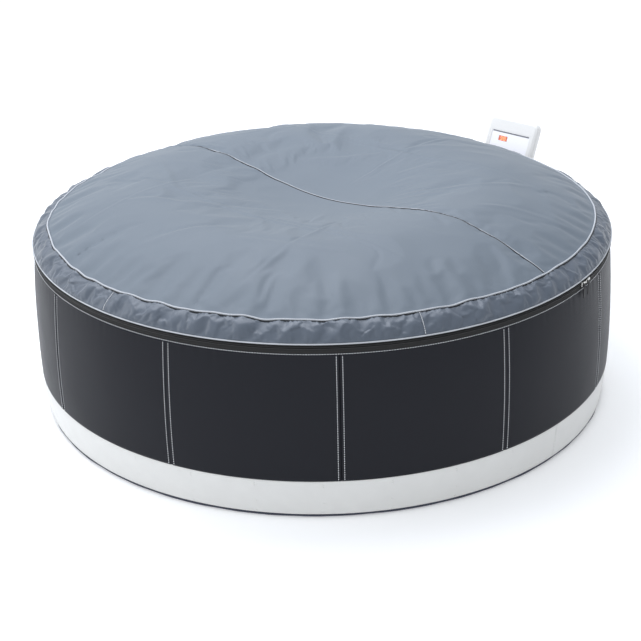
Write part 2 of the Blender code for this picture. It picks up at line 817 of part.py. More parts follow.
def make_console_shells():
    """The hollow casing: a front shell with the control face, and the rear cover it returns."""
    outline = console_outline()
    hollow = console_solid(
        "cutter_console_hollow",
        inset(outline, CONSOLE_WALL),
        CONSOLE_WIDTH - 2 * CONSOLE_WALL,
        CONSOLE_BEVEL - CONSOLE_WALL,
        HEAD_CORNER - CONSOLE_WALL,
    )
    reach, tall = 1.0, 2.0
    shells = {}
    for name, side in (("console_front_shell", -1), ("console_rear_shell", 1)):
        shell = console_solid(name, outline, CONSOLE_WIDTH, CONSOLE_BEVEL, HEAD_CORNER)
        boolean(shell, hollow)
        away = block(f"cutter_{name}", (reach, reach, tall), CONSOLE_WHITE)
        away.location = (0, SHELL_SPLIT - side * (reach / 2 - AIR_GAP / 2), 0.3)
        boolean(shell, away)
        shells[name] = shell
    front = shells["console_front_shell"]
    opening = (OVERLAY_SIZE[0] + 0.0010, OVERLAY_SIZE[1] + 0.0010, 0.02)
    window = block("cutter_overlay", opening, CONSOLE_WHITE)
    window.matrix_world = face_matrix(0.0, OVERLAY_FROM_TOP + OVERLAY_SIZE[1] / 2)
    boolean(front, window)
    for at in (SUCTION, RETURN, AIR):
        cut_for_pipe([front], at, CONSOLE_NEAR - 0.01, CONSOLE_NEAR + 0.02)
    return shells["console_rear_shell"]


def make_controls():
    """Overlay film, display window and six buttons on the sloping face."""
    sunk = -0.0010
    overlay = block("control_overlay", (*OVERLAY_SIZE, OVERLAY_THICKNESS), OVERLAY_LILAC)
    middle = OVERLAY_FROM_TOP + OVERLAY_SIZE[1] / 2
    overlay.matrix_world = face_matrix(0.0, middle, sunk - OVERLAY_THICKNESS / 2)

    across, down = DISPLAY_AT
    opening = block("cutter_display", (DISPLAY_SIZE[0], DISPLAY_SIZE[1], 0.02), DISPLAY_RED)
    opening.matrix_world = face_matrix(across, down)
    boolean(overlay, opening)
    glass = block(
        "display_window",
        (DISPLAY_SIZE[0] - 0.0010, DISPLAY_SIZE[1] - 0.0010, OVERLAY_THICKNESS),
        DISPLAY_RED,
    )
    glass.matrix_world = face_matrix(across, down, sunk - OVERLAY_THICKNESS / 2 - AIR_GAP)

    for row, down in BUTTON_ROWS.items():
        for across, name in zip(BUTTON_COLUMNS, BUTTON_NAMES[row]):
            place = face_matrix(across, down)
            out = place.to_3x3() @ Vector((0, 0, 1))
            back = face_point(across, down, sunk - OVERLAY_THICKNESS)
            cutter = rod(
                f"cutter_button_{name}",
                BUTTON_RADIUS + 0.0004,
                back - out * 0.01,
                back + out * 0.02,
                BUTTON_GREY,
                16,
            )
            boolean(overlay, cutter)
            crown = BUTTON_RADIUS - 0.0012
            outline = [
                (0.0, 0.0),
                (0.0, BUTTON_RADIUS),
                (BUTTON_HEIGHT - 0.0010, BUTTON_RADIUS),
                (BUTTON_HEIGHT, crown),
                (BUTTON_HEIGHT, 0.0),
            ]
            lathe(f"button_{name}", outline, BUTTON_GREY, back, out, 16)


def rotor_outline(blades, hub, tip, blade_width):
    """Star of straight blades around a hub."""
    outline = []
    for i in range(blades):
        turn = math.tau * i / blades
        for radius, side in ((hub, -1), (tip, -1), (tip, 1), (hub, 1)):
            angle = turn + side * blade_width / 2 / radius
            outline.append((radius * math.cos(angle), radius * math.sin(angle)))
    return outline


def motor_housing(name, centre, radius, depth, inlet, motor, motor_length, look):
    """Round housing open at its inlet, with the motor's can behind it."""
    wall = 0.004
    outline = [
        (0.0, inlet),
        (0.0, radius),
        (depth, radius),
        (depth, motor),
        (depth + motor_length, motor),
        (depth + motor_length, 0.0),
        (depth - wall, 0.0),
        (depth - wall, radius - wall),
        (wall, radius - wall),
        (wall, inlet),
    ]
    return lathe(name, outline, look, centre, (0, 1, 0), 24)


def make_rotor(name, centre, blades, hub, tip, blade_width, depth, look):
    """Bladed wheel on the housing's axis."""
    wheel = prism(name, rotor_outline(blades, hub, tip, blade_width), depth, look)
    wheel.rotation_euler = (math.radians(-90), 0, 0)
    wheel.location = centre


def make_machinery():
    """Pump, heater, blower, circuit board and cable gland inside the console."""
    x, z = SUCTION[0], SUCTION[1]
    pump = {"radius": 0.042, "depth": 0.032, "inlet": 0.016, "motor": 0.032, "motor_length": 0.060}
    impeller = {"blades": 6, "hub": 0.010, "tip": 0.034, "blade_width": 0.004, "depth": 0.016}
    pump_at = 1.092
    motor_housing("pump_housing", (x, pump_at, z), look=MOTOR_BLACK, **pump)
    make_rotor("pump_impeller", (x, pump_at + pump["depth"] / 2, z), look=PIPE_GREY, **impeller)

    heater_radius, heater_bore = 0.021, 0.018
    start = Vector((RETURN[0] - 0.005, 1.150, 0.130))
    outline = tube_outline(0.190, heater_radius, heater_bore)
    lathe("heater_tube", outline, STEEL, start, (0, 0, 1), 20)

    blower = {"radius": 0.060, "depth": 0.040, "inlet": 0.022, "motor": 0.030, "motor_length": 0.050}
    fan = {"blades": 9, "hub": 0.014, "tip": 0.050, "blade_width": 0.003, "depth": 0.024}
    blower_z, blower_at = 0.395, 1.120
    motor_housing("blower_housing", (0.0, blower_at, blower_z), look=MOTOR_BLACK, **blower)
    make_rotor("blower_fan", (0.0, blower_at + blower["depth"] / 2, blower_z), look=PIPE_GREY, **fan)

    board = block("main_board", (0.150, 0.0016, 0.090), BOARD_GREEN, (0.0, 1.2520, 0.300))
    for i, (across, size) in enumerate(((-0.045, 0.030), (0.0, 0.022), (0.045, 0.036))):
        chip = block(f"cutter_chip_{i}", (size, 0.0150, size), BOARD_GREEN)
        chip.location = (across, 1.2450, 0.300)
        boolean(board, chip, "UNION")


def make_cable_gland(rear):
    """Gland for the supply lead, low on the rear cover."""
    x, z, neck, head = -0.075, 0.060, 0.0075, 0.0125
    outline = [
        (0.0, 0.0045),
        (0.0, neck),
        (0.016, neck),
        (0.016, head),
        (0.030, head - 0.002),
        (0.034, neck),
        (0.034, 0.0045),
    ]
    start = (x, CONSOLE_FAR - 0.0155, z)
    lathe("cable_gland", outline, MOTOR_BLACK, start, (0, 1, 0), 16)
    ends = (x, CONSOLE_FAR - 0.02, z), (x, CONSOLE_FAR + 0.02, z)
    hole = rod("cutter_gland", neck + 0.0006, *ends, MOTOR_BLACK, 16)
    boolean(rear, hole)


def main():
    """Build every piece, from the ground up."""
    clear_scene()
    make_ground_mat()
    floor_top = make_floor_sheet()
    wall, band, inner = make_walls(floor_top)
    make_rim_sheet()
    make_tie_web()
    make_bubble_ring(floor_top)
    sections = make_jacket()

    def section_at(azimuth):
        """The jacket section that covers an azimuth from 0 to 180 degrees."""
        return next(made for made, start, end in sections if start <= azimuth < end)

    zipper_tape("zipper_tape_tub", JACKET_TOP + AIR_GAP, ZIP_LINE - AIR_GAP, 0.0, 360.0)
    make_lid_half("front", -180.0)
    make_lid_half("rear", 0.0)

    filter_face = fitting_face(SUCTION, FILTER_FLANGE)
    nozzle_face = fitting_face(RETURN, NOZZLE_FLANGE)
    for name, at, near in (
        ("suction_pipe", SUCTION, filter_face + AIR_GAP),
        ("return_pipe", RETURN, nozzle_face + AIR_GAP),
        ("air_pipe", AIR, INNER_RADIUS - 0.0006),
    ):
        make_pipe(name, at, near)
        targets = [wall, inner, band if at[1] < BAND_TOP else section_at(90.0)]
        cut_for_pipe(targets, at, near - 0.03, CONSOLE_NEAR - 0.02)
    make_union_nut("suction_union_nut", SUCTION)
    make_union_nut("return_union_nut", RETURN)
    make_union_nut("air_union_nut", AIR)
    make_filter(filter_face)
    make_return_nozzle(nozzle_face)
    make_inflation_valve(section_at(VALVE_AZIMUTH), wall)
    make_drain(band, wall, inner)

    make_slider("slider_left", SLIDER_AZIMUTH - SLIDER_OFFSET, 1.0)
    make_slider("slider_right", SLIDER_AZIMUTH + SLIDER_OFFSET, -1.0)

    rear = make_console_shells()
    make_controls()
    make_machinery()
    make_cable_gland(rear)


main()
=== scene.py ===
"""Looks of a round inflatable hot tub: jacket, zipped lid, base band and console.

Driving sizes come from the frame or from the dataclass fields of the sub-assembly that
uses them. Metres throughout, +Z up, +Y towards the console, +X along the lid's seam.
"""

import json
import logging
import math
import random
from collections.abc import Callable, Sequence
from dataclasses import dataclass
from enum import Enum

import bmesh
import bpy
import numpy as np
from mathutils import Matrix, Vector, noise
from mathutils.bvhtree import BVHTree

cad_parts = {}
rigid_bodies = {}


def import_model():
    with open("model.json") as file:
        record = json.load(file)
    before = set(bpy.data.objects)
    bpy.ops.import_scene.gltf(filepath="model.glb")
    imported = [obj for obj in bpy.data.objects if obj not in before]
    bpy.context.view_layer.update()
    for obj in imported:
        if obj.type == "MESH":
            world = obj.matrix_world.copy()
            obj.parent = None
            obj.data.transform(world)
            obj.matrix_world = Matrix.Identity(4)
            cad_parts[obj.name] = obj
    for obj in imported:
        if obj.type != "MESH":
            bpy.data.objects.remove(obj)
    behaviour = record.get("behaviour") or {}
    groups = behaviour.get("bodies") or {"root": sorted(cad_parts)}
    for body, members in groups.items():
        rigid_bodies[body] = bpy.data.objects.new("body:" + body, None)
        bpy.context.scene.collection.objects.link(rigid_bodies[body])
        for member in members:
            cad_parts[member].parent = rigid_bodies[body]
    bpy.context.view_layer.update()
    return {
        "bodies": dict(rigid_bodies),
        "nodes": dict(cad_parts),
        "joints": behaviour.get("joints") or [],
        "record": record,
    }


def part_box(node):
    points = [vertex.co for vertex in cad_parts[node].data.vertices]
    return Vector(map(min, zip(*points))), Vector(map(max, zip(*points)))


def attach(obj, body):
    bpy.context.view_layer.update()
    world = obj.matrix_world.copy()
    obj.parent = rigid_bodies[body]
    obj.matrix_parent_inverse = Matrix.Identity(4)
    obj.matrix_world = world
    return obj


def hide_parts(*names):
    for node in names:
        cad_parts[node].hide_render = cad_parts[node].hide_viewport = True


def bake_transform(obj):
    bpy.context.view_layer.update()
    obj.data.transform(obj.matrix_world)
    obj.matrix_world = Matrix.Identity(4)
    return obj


LOG = logging.getLogger("hot_tub")
MM = 0.001
ALL_SMOOTH = 180.0
TAPE_THICKNESS = 0.0014
WELDED_FILM = 0.0010
COIL_INSET = 0.0022
COIL_SIZE = 0.0017
BACKING_GAP = 0.0012
Points = Sequence[tuple[float, float]]
Shape = Callable[[np.ndarray], np.ndarray]
Weights = Callable[[np.ndarray], np.ndarray]


# ---- small helpers ----------------------------------------------------------------------
def srgb(code: str) -> tuple[float, float, float, float]:
    """Turn an sRGB hex colour into linear RGBA.

    Args:
        code: Six hex digits, with or without a leading hash.

    Returns:
        Linear red, green and blue, with alpha 1.
    """
    text = code.lstrip("#")
    parts = [int(text[i : i + 2], 16) / 255 for i in (0, 2, 4)]
    linear = [c / 12.92 if c <= 0.04045 else ((c + 0.055) / 1.055) ** 2.4 for c in parts]
    return (linear[0], linear[1], linear[2], 1.0)


def add_node(tree: bpy.types.NodeTree, kind: str, settings: dict, links: dict) -> bpy.types.Node:
    """Add a shader node, set it up and join its inputs.

    Args:
        tree: The node tree of a material or of the world.
        kind: The node's type name, without the ShaderNode prefix.
        settings: Attributes by name, or input values by socket name or index.
        links: Output sockets by the input socket's name or index.

    Returns:
        The new node.
    """
    made = tree.nodes.new("ShaderNode" + kind)
    for key, value in settings.items():
        if isinstance(key, str) and hasattr(made, key) and key not in made.inputs:
            setattr(made, key, value)
        else:
            made.inputs[key].default_value = value
    for key, socket in links.items():
        tree.links.new(socket, made.inputs[key])
    return made


def azimuth_of(places: np.ndarray) -> np.ndarray:
    """Each place's azimuth about the tub's axis, in radians."""
    return np.arctan2(places[:, 1], places[:, 0])


def radius_of(places: np.ndarray) -> np.ndarray:
    """Each place's distance from the tub's axis."""
    return np.hypot(places[:, 0], places[:, 1])


def turn_from(azimuth: np.ndarray, line: float) -> np.ndarray:
    """Signed angle in radians from a line at an azimuth in degrees."""
    return (azimuth - math.radians(line) + math.pi) % math.tau - math.pi


def fullness(azimuth: np.ndarray, mean: float, swing: float, turn: float) -> np.ndarray:
    """How full the gathers are: most at minus turn degrees, least opposite."""
    return mean + swing * np.cos(azimuth + math.radians(turn))


def smoothstep(low: float, high: float, value: np.ndarray) -> np.ndarray:
    """Rise smoothly from 0 at low to 1 at high."""
    share = np.clip((value - low) / (high - low), 0.0, 1.0)
    return share * share * (3 - 2 * share)


def bump_line(distance: np.ndarray, width: float) -> np.ndarray:
    """A rounded ridge, 1 on the line and nearly 0 one width away."""
    return np.exp(-((distance / width) ** 2) * 2.0)


def ripple(angle: np.ndarray, waves: Sequence[int], seed: int) -> np.ndarray:
    """Uneven ripples that close on themselves round the tub.

    Args:
        angle: Azimuths in radians.
        waves: Whole numbers of waves in a turn.
        seed: Starts the draw of phases and sizes.

    Returns:
        Values between about -1 and 1.
    """
    draw = random.Random(seed)
    total = np.zeros_like(angle)
    for count in waves:
        total += draw.uniform(0.5, 1.0) * np.sin(count * angle + draw.uniform(0, math.tau))
    return total / max(1.0, 0.75 * len(waves))


# ---- finishes ---------------------------------------------------------------------------
class Pattern(Enum):
    """How a finish's surface was made."""

    WEAVE = "woven and coated"
    GRAIN = "embossed"
    MOULDED = "moulded"
    BRUSHED = "drawn or plated metal"
    FILM = "calendered sheet"


@dataclass(frozen=True)
class Finish:
    """A material by what it is made of and how its surface was made."""

    name: str
    base: str
    worn: str
    roughness: float
    pattern: Pattern
    scale_mm: float
    depth_mm: float = 0.1
    metallic: float = 0.0
    ior: float = 1.5
    coat: float = 0.0
    sheen: float = 0.0
    glow: float = 0.0

    def pattern_height(self, tree: bpy.types.NodeTree, place: bpy.types.NodeSocket) -> bpy.types.NodeSocket:
        """Add the nodes of the fine pattern.

        Args:
            tree: The material's node tree.
            place: The Object coordinates.

        Returns:
            The pattern's height, from 0 to 1.
        """
        per_metre = 1000.0 / self.scale_mm
        if self.pattern is Pattern.WEAVE:
            bands = []
            for axis in ("X", "Y"):
                wave = add_node(
                    tree,
                    "TexWave",
                    {"bands_direction": axis, "Scale": per_metre / math.tau * 2, "Distortion": 0.6,
                     "Detail": 1.0, "Detail Scale": 2.0},
                    {"Vector": place},
                )
                bands.append(wave.outputs["Fac"])
            return add_node(tree, "Math", {"operation": "MULTIPLY"}, {0: bands[0], 1: bands[1]}).outputs[0]
        if self.pattern is Pattern.GRAIN:
            cells = add_node(
                tree, "TexVoronoi", {"feature": "DISTANCE_TO_EDGE", "Scale": per_metre}, {"Vector": place}
            )
            return cells.outputs["Distance"]
        if self.pattern is Pattern.BRUSHED:
            stretched = add_node(tree, "Mapping", {"Scale": (1.0, 1.0, 12.0)}, {"Vector": place})
            place = stretched.outputs["Vector"]
        detail = 2.0 if self.pattern is Pattern.FILM else 5.0
        grain = add_node(
            tree, "TexNoise", {"Scale": per_metre, "Detail": detail, "Roughness": 0.55}, {"Vector": place}
        )
        return grain.outputs["Fac"]

    def make(self) -> bpy.types.Material:
        """Build the material once, and return it on every later call."""
        made = bpy.data.materials.get(self.name)
        if made is not None:
            return made
        made = bpy.data.materials.new(self.name)
        made.use_nodes = True
        tree = made.node_tree
        shader = tree.nodes["Principled BSDF"]
        place = add_node(tree, "TexCoord", {}, {}).outputs["Object"]
        height = self.pattern_height(tree, place)
        # Slow drift of tone, as handling and weather leave it, about 200 mm across.
        drift = add_node(tree, "TexNoise", {"Scale": 5.0, "Detail": 4.0}, {"Vector": place}).outputs["Fac"]
        both = add_node(tree, "Math", {"operation": "MULTIPLY"}, {0: height, 1: drift}).outputs[0]
        tone = add_node(
            tree, "Mix", {"data_type": "RGBA", 6: srgb(self.base), 7: srgb(self.worn)}, {0: both}
        )
        tree.links.new(tone.outputs[2], shader.inputs["Base Color"])
        spread = add_node(
            tree,
            "MapRange",
            {"To Min": self.roughness * 0.85, "To Max": min(1.0, self.roughness * 1.15)},
            {"Value": drift},
        )
        tree.links.new(spread.outputs["Result"], shader.inputs["Roughness"])
        relief = add_node(
            tree, "Bump", {"Strength": 0.6, "Distance": self.depth_mm * MM}, {"Height": height}
        )
        tree.links.new(relief.outputs["Normal"], shader.inputs["Normal"])
        shader.inputs["Metallic"].default_value = self.metallic
        shader.inputs["IOR"].default_value = self.ior
        shader.inputs["Coat Weight"].default_value = self.coat
        shader.inputs["Sheen Weight"].default_value = self.sheen
        if self.glow:
            shader.inputs["Emission Color"].default_value = srgb(self.base)
            shader.inputs["Emission Strength"].default_value = self.glow
        return made


# Coated oxford polyester: a dull film over the weave, so it is matt with a faint sheen.
LID_CLOTH = Finish("coated_oxford", "#5b6671", "#6b7681", 0.55, Pattern.WEAVE, 2.4, 0.12, sheen=0.15)
# The same cloth in the skirt, painted a little darker as shade on the upright strip, and smoother where it is
# handled.
SHADED_SKIRT_CLOTH = Finish("coated_oxford_skirt_painted_shade", "#4e5763", "#606a77", 0.34, Pattern.WEAVE, 2.4, 0.12, sheen=0.15)
PIPING = Finish("piping_cloth", "#b2b6bc", "#c6c9ce", 0.5, Pattern.WEAVE, 1.6, 0.1)
# A dark cord beside each piping, painted as the shadow that the piping casts on the cloth.
PIPING_SHADOW = Finish("piping_painted_shadow", "#15171b", "#22252a", 0.6, Pattern.WEAVE, 1.6, 0.1)
# Vinyl leatherette: black film embossed with a small pebble, slightly glossy on its crests.
LEATHERETTE = Finish("embossed_leatherette", "#202126", "#292a2f", 0.42, Pattern.GRAIN, 2.0, 0.30, ior=1.20)
THREAD = Finish("sewing_thread", "#cfd1d4", "#e4e5e7", 0.6, Pattern.WEAVE, 0.8, 0.1)
WHITE_VINYL = Finish("white_vinyl", "#d4d4d2", "#e2e2e0", 0.34, Pattern.FILM, 60.0, 1.2)
GREY_VINYL = Finish("grey_vinyl", "#b9bec6", "#cdd2d8", 0.38, Pattern.FILM, 45.0, 1.2)
NAVY_CLOTH = Finish("navy_base_cloth", "#343746", "#484c60", 0.75, Pattern.WEAVE, 2.4, 0.2)
ZIP_TAPE = Finish("zipper_tape", "#0b0b0d", "#121214", 0.75, Pattern.WEAVE, 1.8, 0.2)
ZIP_TEETH = Finish("zipper_coil", "#0f0f11", "#1b1b1d", 0.45, Pattern.MOULDED, 2.0, 0.05)
# Nickel plate on cast zinc: bright, with slightly uneven polish.
NICKEL = Finish("nickel_plate", "#c9c8c4", "#dddcd8", 0.2, Pattern.BRUSHED, 3.0, 0.03, metallic=1.0)
RUBBER = Finish("moulded_rubber", "#1d1d1f", "#2a2a2c", 0.65, Pattern.MOULDED, 1.5, 0.1)
FOIL = Finish("metallised_film", "#c9ccd0", "#dfe1e4", 0.32, Pattern.FILM, 30.0, 2.0, metallic=0.7)
# ABS with a spark-eroded texture: even, faintly glossy white.
WHITE_ABS = Finish("white_abs", "#e4e4e3", "#f1f1f0", 0.32, Pattern.MOULDED, 1.6, 0.05)
# The overlay film glows a little, which is painted light: the film is no lamp.
GLOWING_OVERLAY_FILM = Finish("overlay_film", "#e9eaf0", "#f0f1f5", 0.25, Pattern.FILM, 20.0, 0.1, glow=0.12)
# A dark bar at the overlay's top, painted as the shadow under the recess edge.
RECESS_SHADE = Finish("overlay_recess_painted_shade", "#5c5f68", "#6b6e77", 0.4, Pattern.FILM, 20.0, 0.02)
LED_GLASS = Finish("display_glass", "#b04a2c", "#c25a38", 0.15, Pattern.FILM, 10.0, 0.02, coat=0.6, glow=0.35)
LED_DIGIT = Finish("display_digit", "#ff8a5c", "#ffa27c", 0.3, Pattern.FILM, 10.0, 0.02, glow=2.0)
KEY_GREY = Finish("key_silicone", "#5f636c", "#70747d", 0.45, Pattern.MOULDED, 1.2, 0.05)
GREY_ABS = Finish("grey_abs", "#8b8f95", "#9a9ea4", 0.42, Pattern.MOULDED, 1.6, 0.08)
FLEECE = Finish("filter_fleece", "#e4e6e8", "#f1f2f3", 0.95, Pattern.WEAVE, 1.8, 0.3)
MOTOR_PAINT = Finish("motor_enamel", "#2a2a2c", "#3a3a3c", 0.4, Pattern.MOULDED, 3.0, 0.1)
STEEL = Finish("drawn_steel", "#a7a8aa", "#bcbdbf", 0.28, Pattern.BRUSHED, 2.0, 0.03, metallic=1.0)
SOLDER_MASK = Finish("solder_mask", "#1a5a33", "#236b3f", 0.35, Pattern.MOULDED, 4.0, 0.05)

# The floor glows a little, so that it stays white up to the contact shadow.
STUDIO_PAPER = Finish("studio_paper", "#f2f3f4", "#f6f6f7", 0.9, Pattern.FILM, 300.0, 0.01, glow=0.22)

CAD_FINISHES = {
    GREY_ABS: ("suction_pipe", "return_pipe", "air_pipe", "suction_union_nut", "return_union_nut",
               "air_union_nut", "filter_base", "filter_cap", "return_nozzle", "inflation_valve_body",
               "inflation_valve_cap", "drain_valve_body", "drain_valve_cap", "pump_impeller", "blower_fan"),
    FLEECE: ("filter_cartridge",),
    MOTOR_PAINT: ("pump_housing", "blower_housing"),
    STEEL: ("heater_tube",),
    SOLDER_MASK: ("main_board",),
    RUBBER: ("cable_gland", "slider_left_pull", "slider_right_pull"),
    NICKEL: ("slider_left", "slider_right"),
    WHITE_ABS: ("console_front_shell", "console_rear_shell"),
    # The overlay's glow is painted light.
    GLOWING_OVERLAY_FILM: ("control_overlay",),
    LED_GLASS: ("display_window",),
    GREY_VINYL: ("outer_wall_sheet", "tie_web"),
    KEY_GREY: ("button_heat", "button_filter", "button_bubble", "button_down", "button_lock", "button_up"),
}


# ---- mesh helpers -----------------------------------------------------------------------
def spun(
    profile: Points, steps: int, closed: bool = False, start: float = 0.0, sweep: float = 360.0
) -> bmesh.types.BMesh:
    """Spin a (radius, height) line about Z.

    Args:
        profile: The line's points.
        steps: Faces round the sweep.
        closed: Whether the line's last point joins its first.
        start: Azimuth where the sweep starts, in degrees.
        sweep: Degrees swept; 360 closes on itself.

    Returns:
        The surface as a bmesh.
    """
    bm = bmesh.new()
    turn = Matrix.Rotation(math.radians(start), 4, "Z")
    line = [bm.verts.new(turn @ Vector((r, 0.0, z))) for r, z in profile]
    pairs = list(zip(line, line[1:])) + ([(line[-1], line[0])] if closed else [])
    edges = [bm.edges.new(pair) for pair in pairs]
    # One wedge is spun and then repeated, which is much quicker than one long spin.
    wedges = max(n for n in range(1, 31) if steps % n == 0)
    wedge = math.radians(sweep) / wedges
    about = {"cent": (0, 0, 0), "axis": (0, 0, 1)}
    bmesh.ops.spin(bm, geom=line + edges, angle=wedge, steps=steps // wedges, use_merge=False, **about)
    bmesh.ops.spin(
        bm, geom=bm.verts[:] + bm.edges[:] + bm.faces[:], angle=wedge * (wedges - 1),
        steps=wedges - 1, use_duplicate=True, use_merge=False, **about,
    )
    bmesh.ops.remove_doubles(bm, verts=bm.verts, dist=1e-6)
    bmesh.ops.dissolve_degenerate(bm, edges=bm.edges, dist=1e-7)
    return bm


def reshape(bm: bmesh.types.BMesh, shape: Shape) -> None:
    """Move every vertex by a function of all the positions at once."""
    places = np.array([v.co for v in bm.verts], float).reshape(-1, 3)
    for vert, place in zip(bm.verts, shape(places)):
        vert.co = place


def piece(
    bm: bmesh.types.BMesh, name: str, finish: Finish, outward: Shape | None = None, sharp: float = 50.0
) -> bpy.types.Object:
    """Turn a bmesh into a smooth, dressed object at the origin.

    Args:
        bm: The mesh, which is used up.
        name: The piece's name.
        finish: Its material.
        outward: Gives the way an open sheet should face at each face's centre.
        sharp: Edges sharper than this many degrees stay crisp.

    Returns:
        The new object.
    """
    bmesh.ops.recalc_face_normals(bm, faces=bm.faces)
    if outward is not None:
        centres = np.array([f.calc_center_median() for f in bm.faces], float)
        normals = np.array([f.normal for f in bm.faces], float)
        if float((normals * outward(centres)).sum()) < 0:
            bmesh.ops.reverse_faces(bm, faces=bm.faces)
    mesh = bpy.data.meshes.new(name)
    bm.to_mesh(mesh)
    bm.free()
    mesh.shade_smooth()
    mesh.set_sharp_from_angle(angle=math.radians(sharp))
    made = bpy.data.objects.new(name, mesh)
    bpy.context.scene.collection.objects.link(made)
    mesh.materials.append(finish.make())
    return made


def thicken(made: bpy.types.Object, thickness: float) -> None:
    """Give a sheet a wall behind its face."""
    wall = made.modifiers.new("wall", "SOLIDIFY")
    wall.thickness = thickness
    wall.offset = -1.0


def dress(made: bpy.types.Object, body: str, slot: str, *nodes: str) -> bpy.types.Object:
    """Hang a piece on a body and let it stand for CAD nodes."""
    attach(made, body)
    if nodes:
        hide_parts(*nodes)
    LOG.info("%s rides on %s", made.name, body)
    return made


def away_from_axis(centres: np.ndarray) -> np.ndarray:
    """Straight out from the tub's axis."""
    return centres * np.array([1.0, 1.0, 0.0])


def towards_axis(centres: np.ndarray) -> np.ndarray:
    """Straight in to the tub's axis."""
    return -away_from_axis(centres)


def upwards(centres: np.ndarray) -> np.ndarray:
    """Straight up everywhere."""
    return np.zeros_like(centres) + np.array([0.0, 0.0, 1.0])


def radial_shift(places: np.ndarray, out: np.ndarray, rise: np.ndarray | float = 0.0) -> np.ndarray:
    """Move points out from the axis, and up."""
    radius = np.maximum(radius_of(places), 1e-9)
    moved = places.copy()
    moved[:, :2] *= ((radius + out) / radius)[:, None]
    moved[:, 2] += rise
    return moved


def stitch_row(
    bm: bmesh.types.BMesh, points: np.ndarray, outs: np.ndarray, length: float, width: float
) -> None:
    """Lay one thread stitch on each point, along the way to the next.

    Args:
        bm: Receives the stitches.
        points: Where the stitches start, one row each.
        outs: The surface's outward direction at each.
        length: A stitch's visible length.
        width: The thread's width.
    """
    batch = 40
    for first in range(0, len(points) - 1, batch):
        few = bmesh.new()
        for i in range(first, min(first + batch, len(points) - 1)):
            along = Vector(points[i + 1] - points[i]).normalized()
            side = along.cross(Vector(outs[i])).normalized()
            turn = Matrix((along, side, side.cross(along))).transposed().to_4x4()
            middle = Vector((points[i] + points[i + 1]) / 2)
            size = Matrix.Diagonal((length / 2, width / 2, width / 3, 1.0))
            bmesh.ops.create_icosphere(
                few, subdivisions=1, radius=1.0, matrix=Matrix.Translation(middle) @ turn @ size
            )
        mesh = bpy.data.meshes.new("stitches")
        few.to_mesh(mesh)
        few.free()
        bm.from_mesh(mesh)
        bpy.data.meshes.remove(mesh)


def path_tube(
    path: np.ndarray, outs: np.ndarray, radius: float, closed: bool, sides: int = 8
) -> bmesh.types.BMesh:
    """Draw a round cord along a path.

    Args:
        path: The cord's centre line, one row a point.
        outs: A direction across the path at each point.
        radius: The cord's radius.
        closed: Whether the path ends where it starts.
        sides: Faces round the cord.

    Returns:
        The cord as a bmesh.
    """
    bm = bmesh.new()
    last = len(path) - 1
    rings = []
    for i, (point, out) in enumerate(zip(path, outs)):
        before = path[i - 1] if closed or i else path[0]
        after = path[(i + 1) % len(path)] if closed or i < last else path[last]
        along = Vector(after - before).normalized()
        across = Vector(out)
        across = (across - along * across.dot(along)).normalized()
        turn = Matrix((across, along.cross(across), along)).transposed().to_4x4()
        made = bmesh.ops.create_circle(
            bm, segments=sides, radius=radius, matrix=Matrix.Translation(Vector(point)) @ turn
        )
        rings.append([e for e in {e for v in made["verts"] for e in v.link_edges}])
    pairs = list(zip(rings, rings[1:])) + ([(rings[-1], rings[0])] if closed else [])
    for one, other in pairs:
        bmesh.ops.bridge_loops(bm, edges=one + other)
    if not closed:
        bmesh.ops.holes_fill(bm, edges=bm.edges, sides=sides)
    return bm


def settle(
    made: bpy.types.Object, pins: Weights, reach: Weights, grow: float, pressure: float, frames: int
) -> None:
    """Let a sewn sheet buckle into its own wrinkles, then keep that shape.

    Args:
        made: The sheet, at the origin.
        pins: Gives each vertex's hold, from 0 free to 1 sewn down.
        reach: Gives the furthest that each vertex may move.
        grow: Spare cloth, as a share of its length.
        pressure: Air pressure behind the sheet.
        frames: Steps of the simulation.
    """
    mesh = made.data
    before = np.array([v.co for v in mesh.vertices], float)
    group = made.vertex_groups.new(name="sewn")
    for index, weight in enumerate(pins(before)):
        if weight > 0:
            group.add([index], float(weight), "REPLACE")
    cloth = made.modifiers.new("cloth", "CLOTH")
    fabric = cloth.settings
    fabric.quality = 6
    fabric.mass = 0.25
    fabric.tension_stiffness = 15.0
    fabric.compression_stiffness = 15.0
    fabric.shear_stiffness = 8.0
    fabric.bending_stiffness = 0.6
    fabric.tension_damping = fabric.compression_damping = 12.0
    fabric.shrink_min = -grow
    fabric.vertex_group_mass = "sewn"
    fabric.pin_stiffness = 1.0
    fabric.use_pressure = pressure > 0
    fabric.uniform_pressure_force = pressure
    fabric.effector_weights.gravity = 0.0
    cloth.collision_settings.use_collision = False
    cloth.point_cache.frame_start = 1
    cloth.point_cache.frame_end = frames
    scene = bpy.context.scene
    for frame_number in range(1, frames + 1):
        scene.frame_set(frame_number)
    settled = made.evaluated_get(bpy.context.evaluated_depsgraph_get()).to_mesh()
    after = np.array([v.co for v in settled.vertices], float)
    move = after - before
    length = np.maximum(np.linalg.norm(move, axis=1), 1e-9)
    move *= np.minimum(1.0, reach(before) / length)[:, None]
    # What lies behind the sheet stops it going in.
    normals = np.array([v.normal for v in mesh.vertices], float)
    inward = np.minimum(np.einsum("ij,ij->i", move, normals) + BACKING_GAP, 0.0)
    move -= normals * inward[:, None]
    made.modifiers.remove(cloth)
    made.vertex_groups.remove(group)
    mesh.vertices.foreach_set("co", (before + move).astype(np.float32).ravel())
    mesh.update()
    scene.frame_set(1)
    LOG.info("%s settled, moving %.1f mm at most", made.name, length.max() / MM)


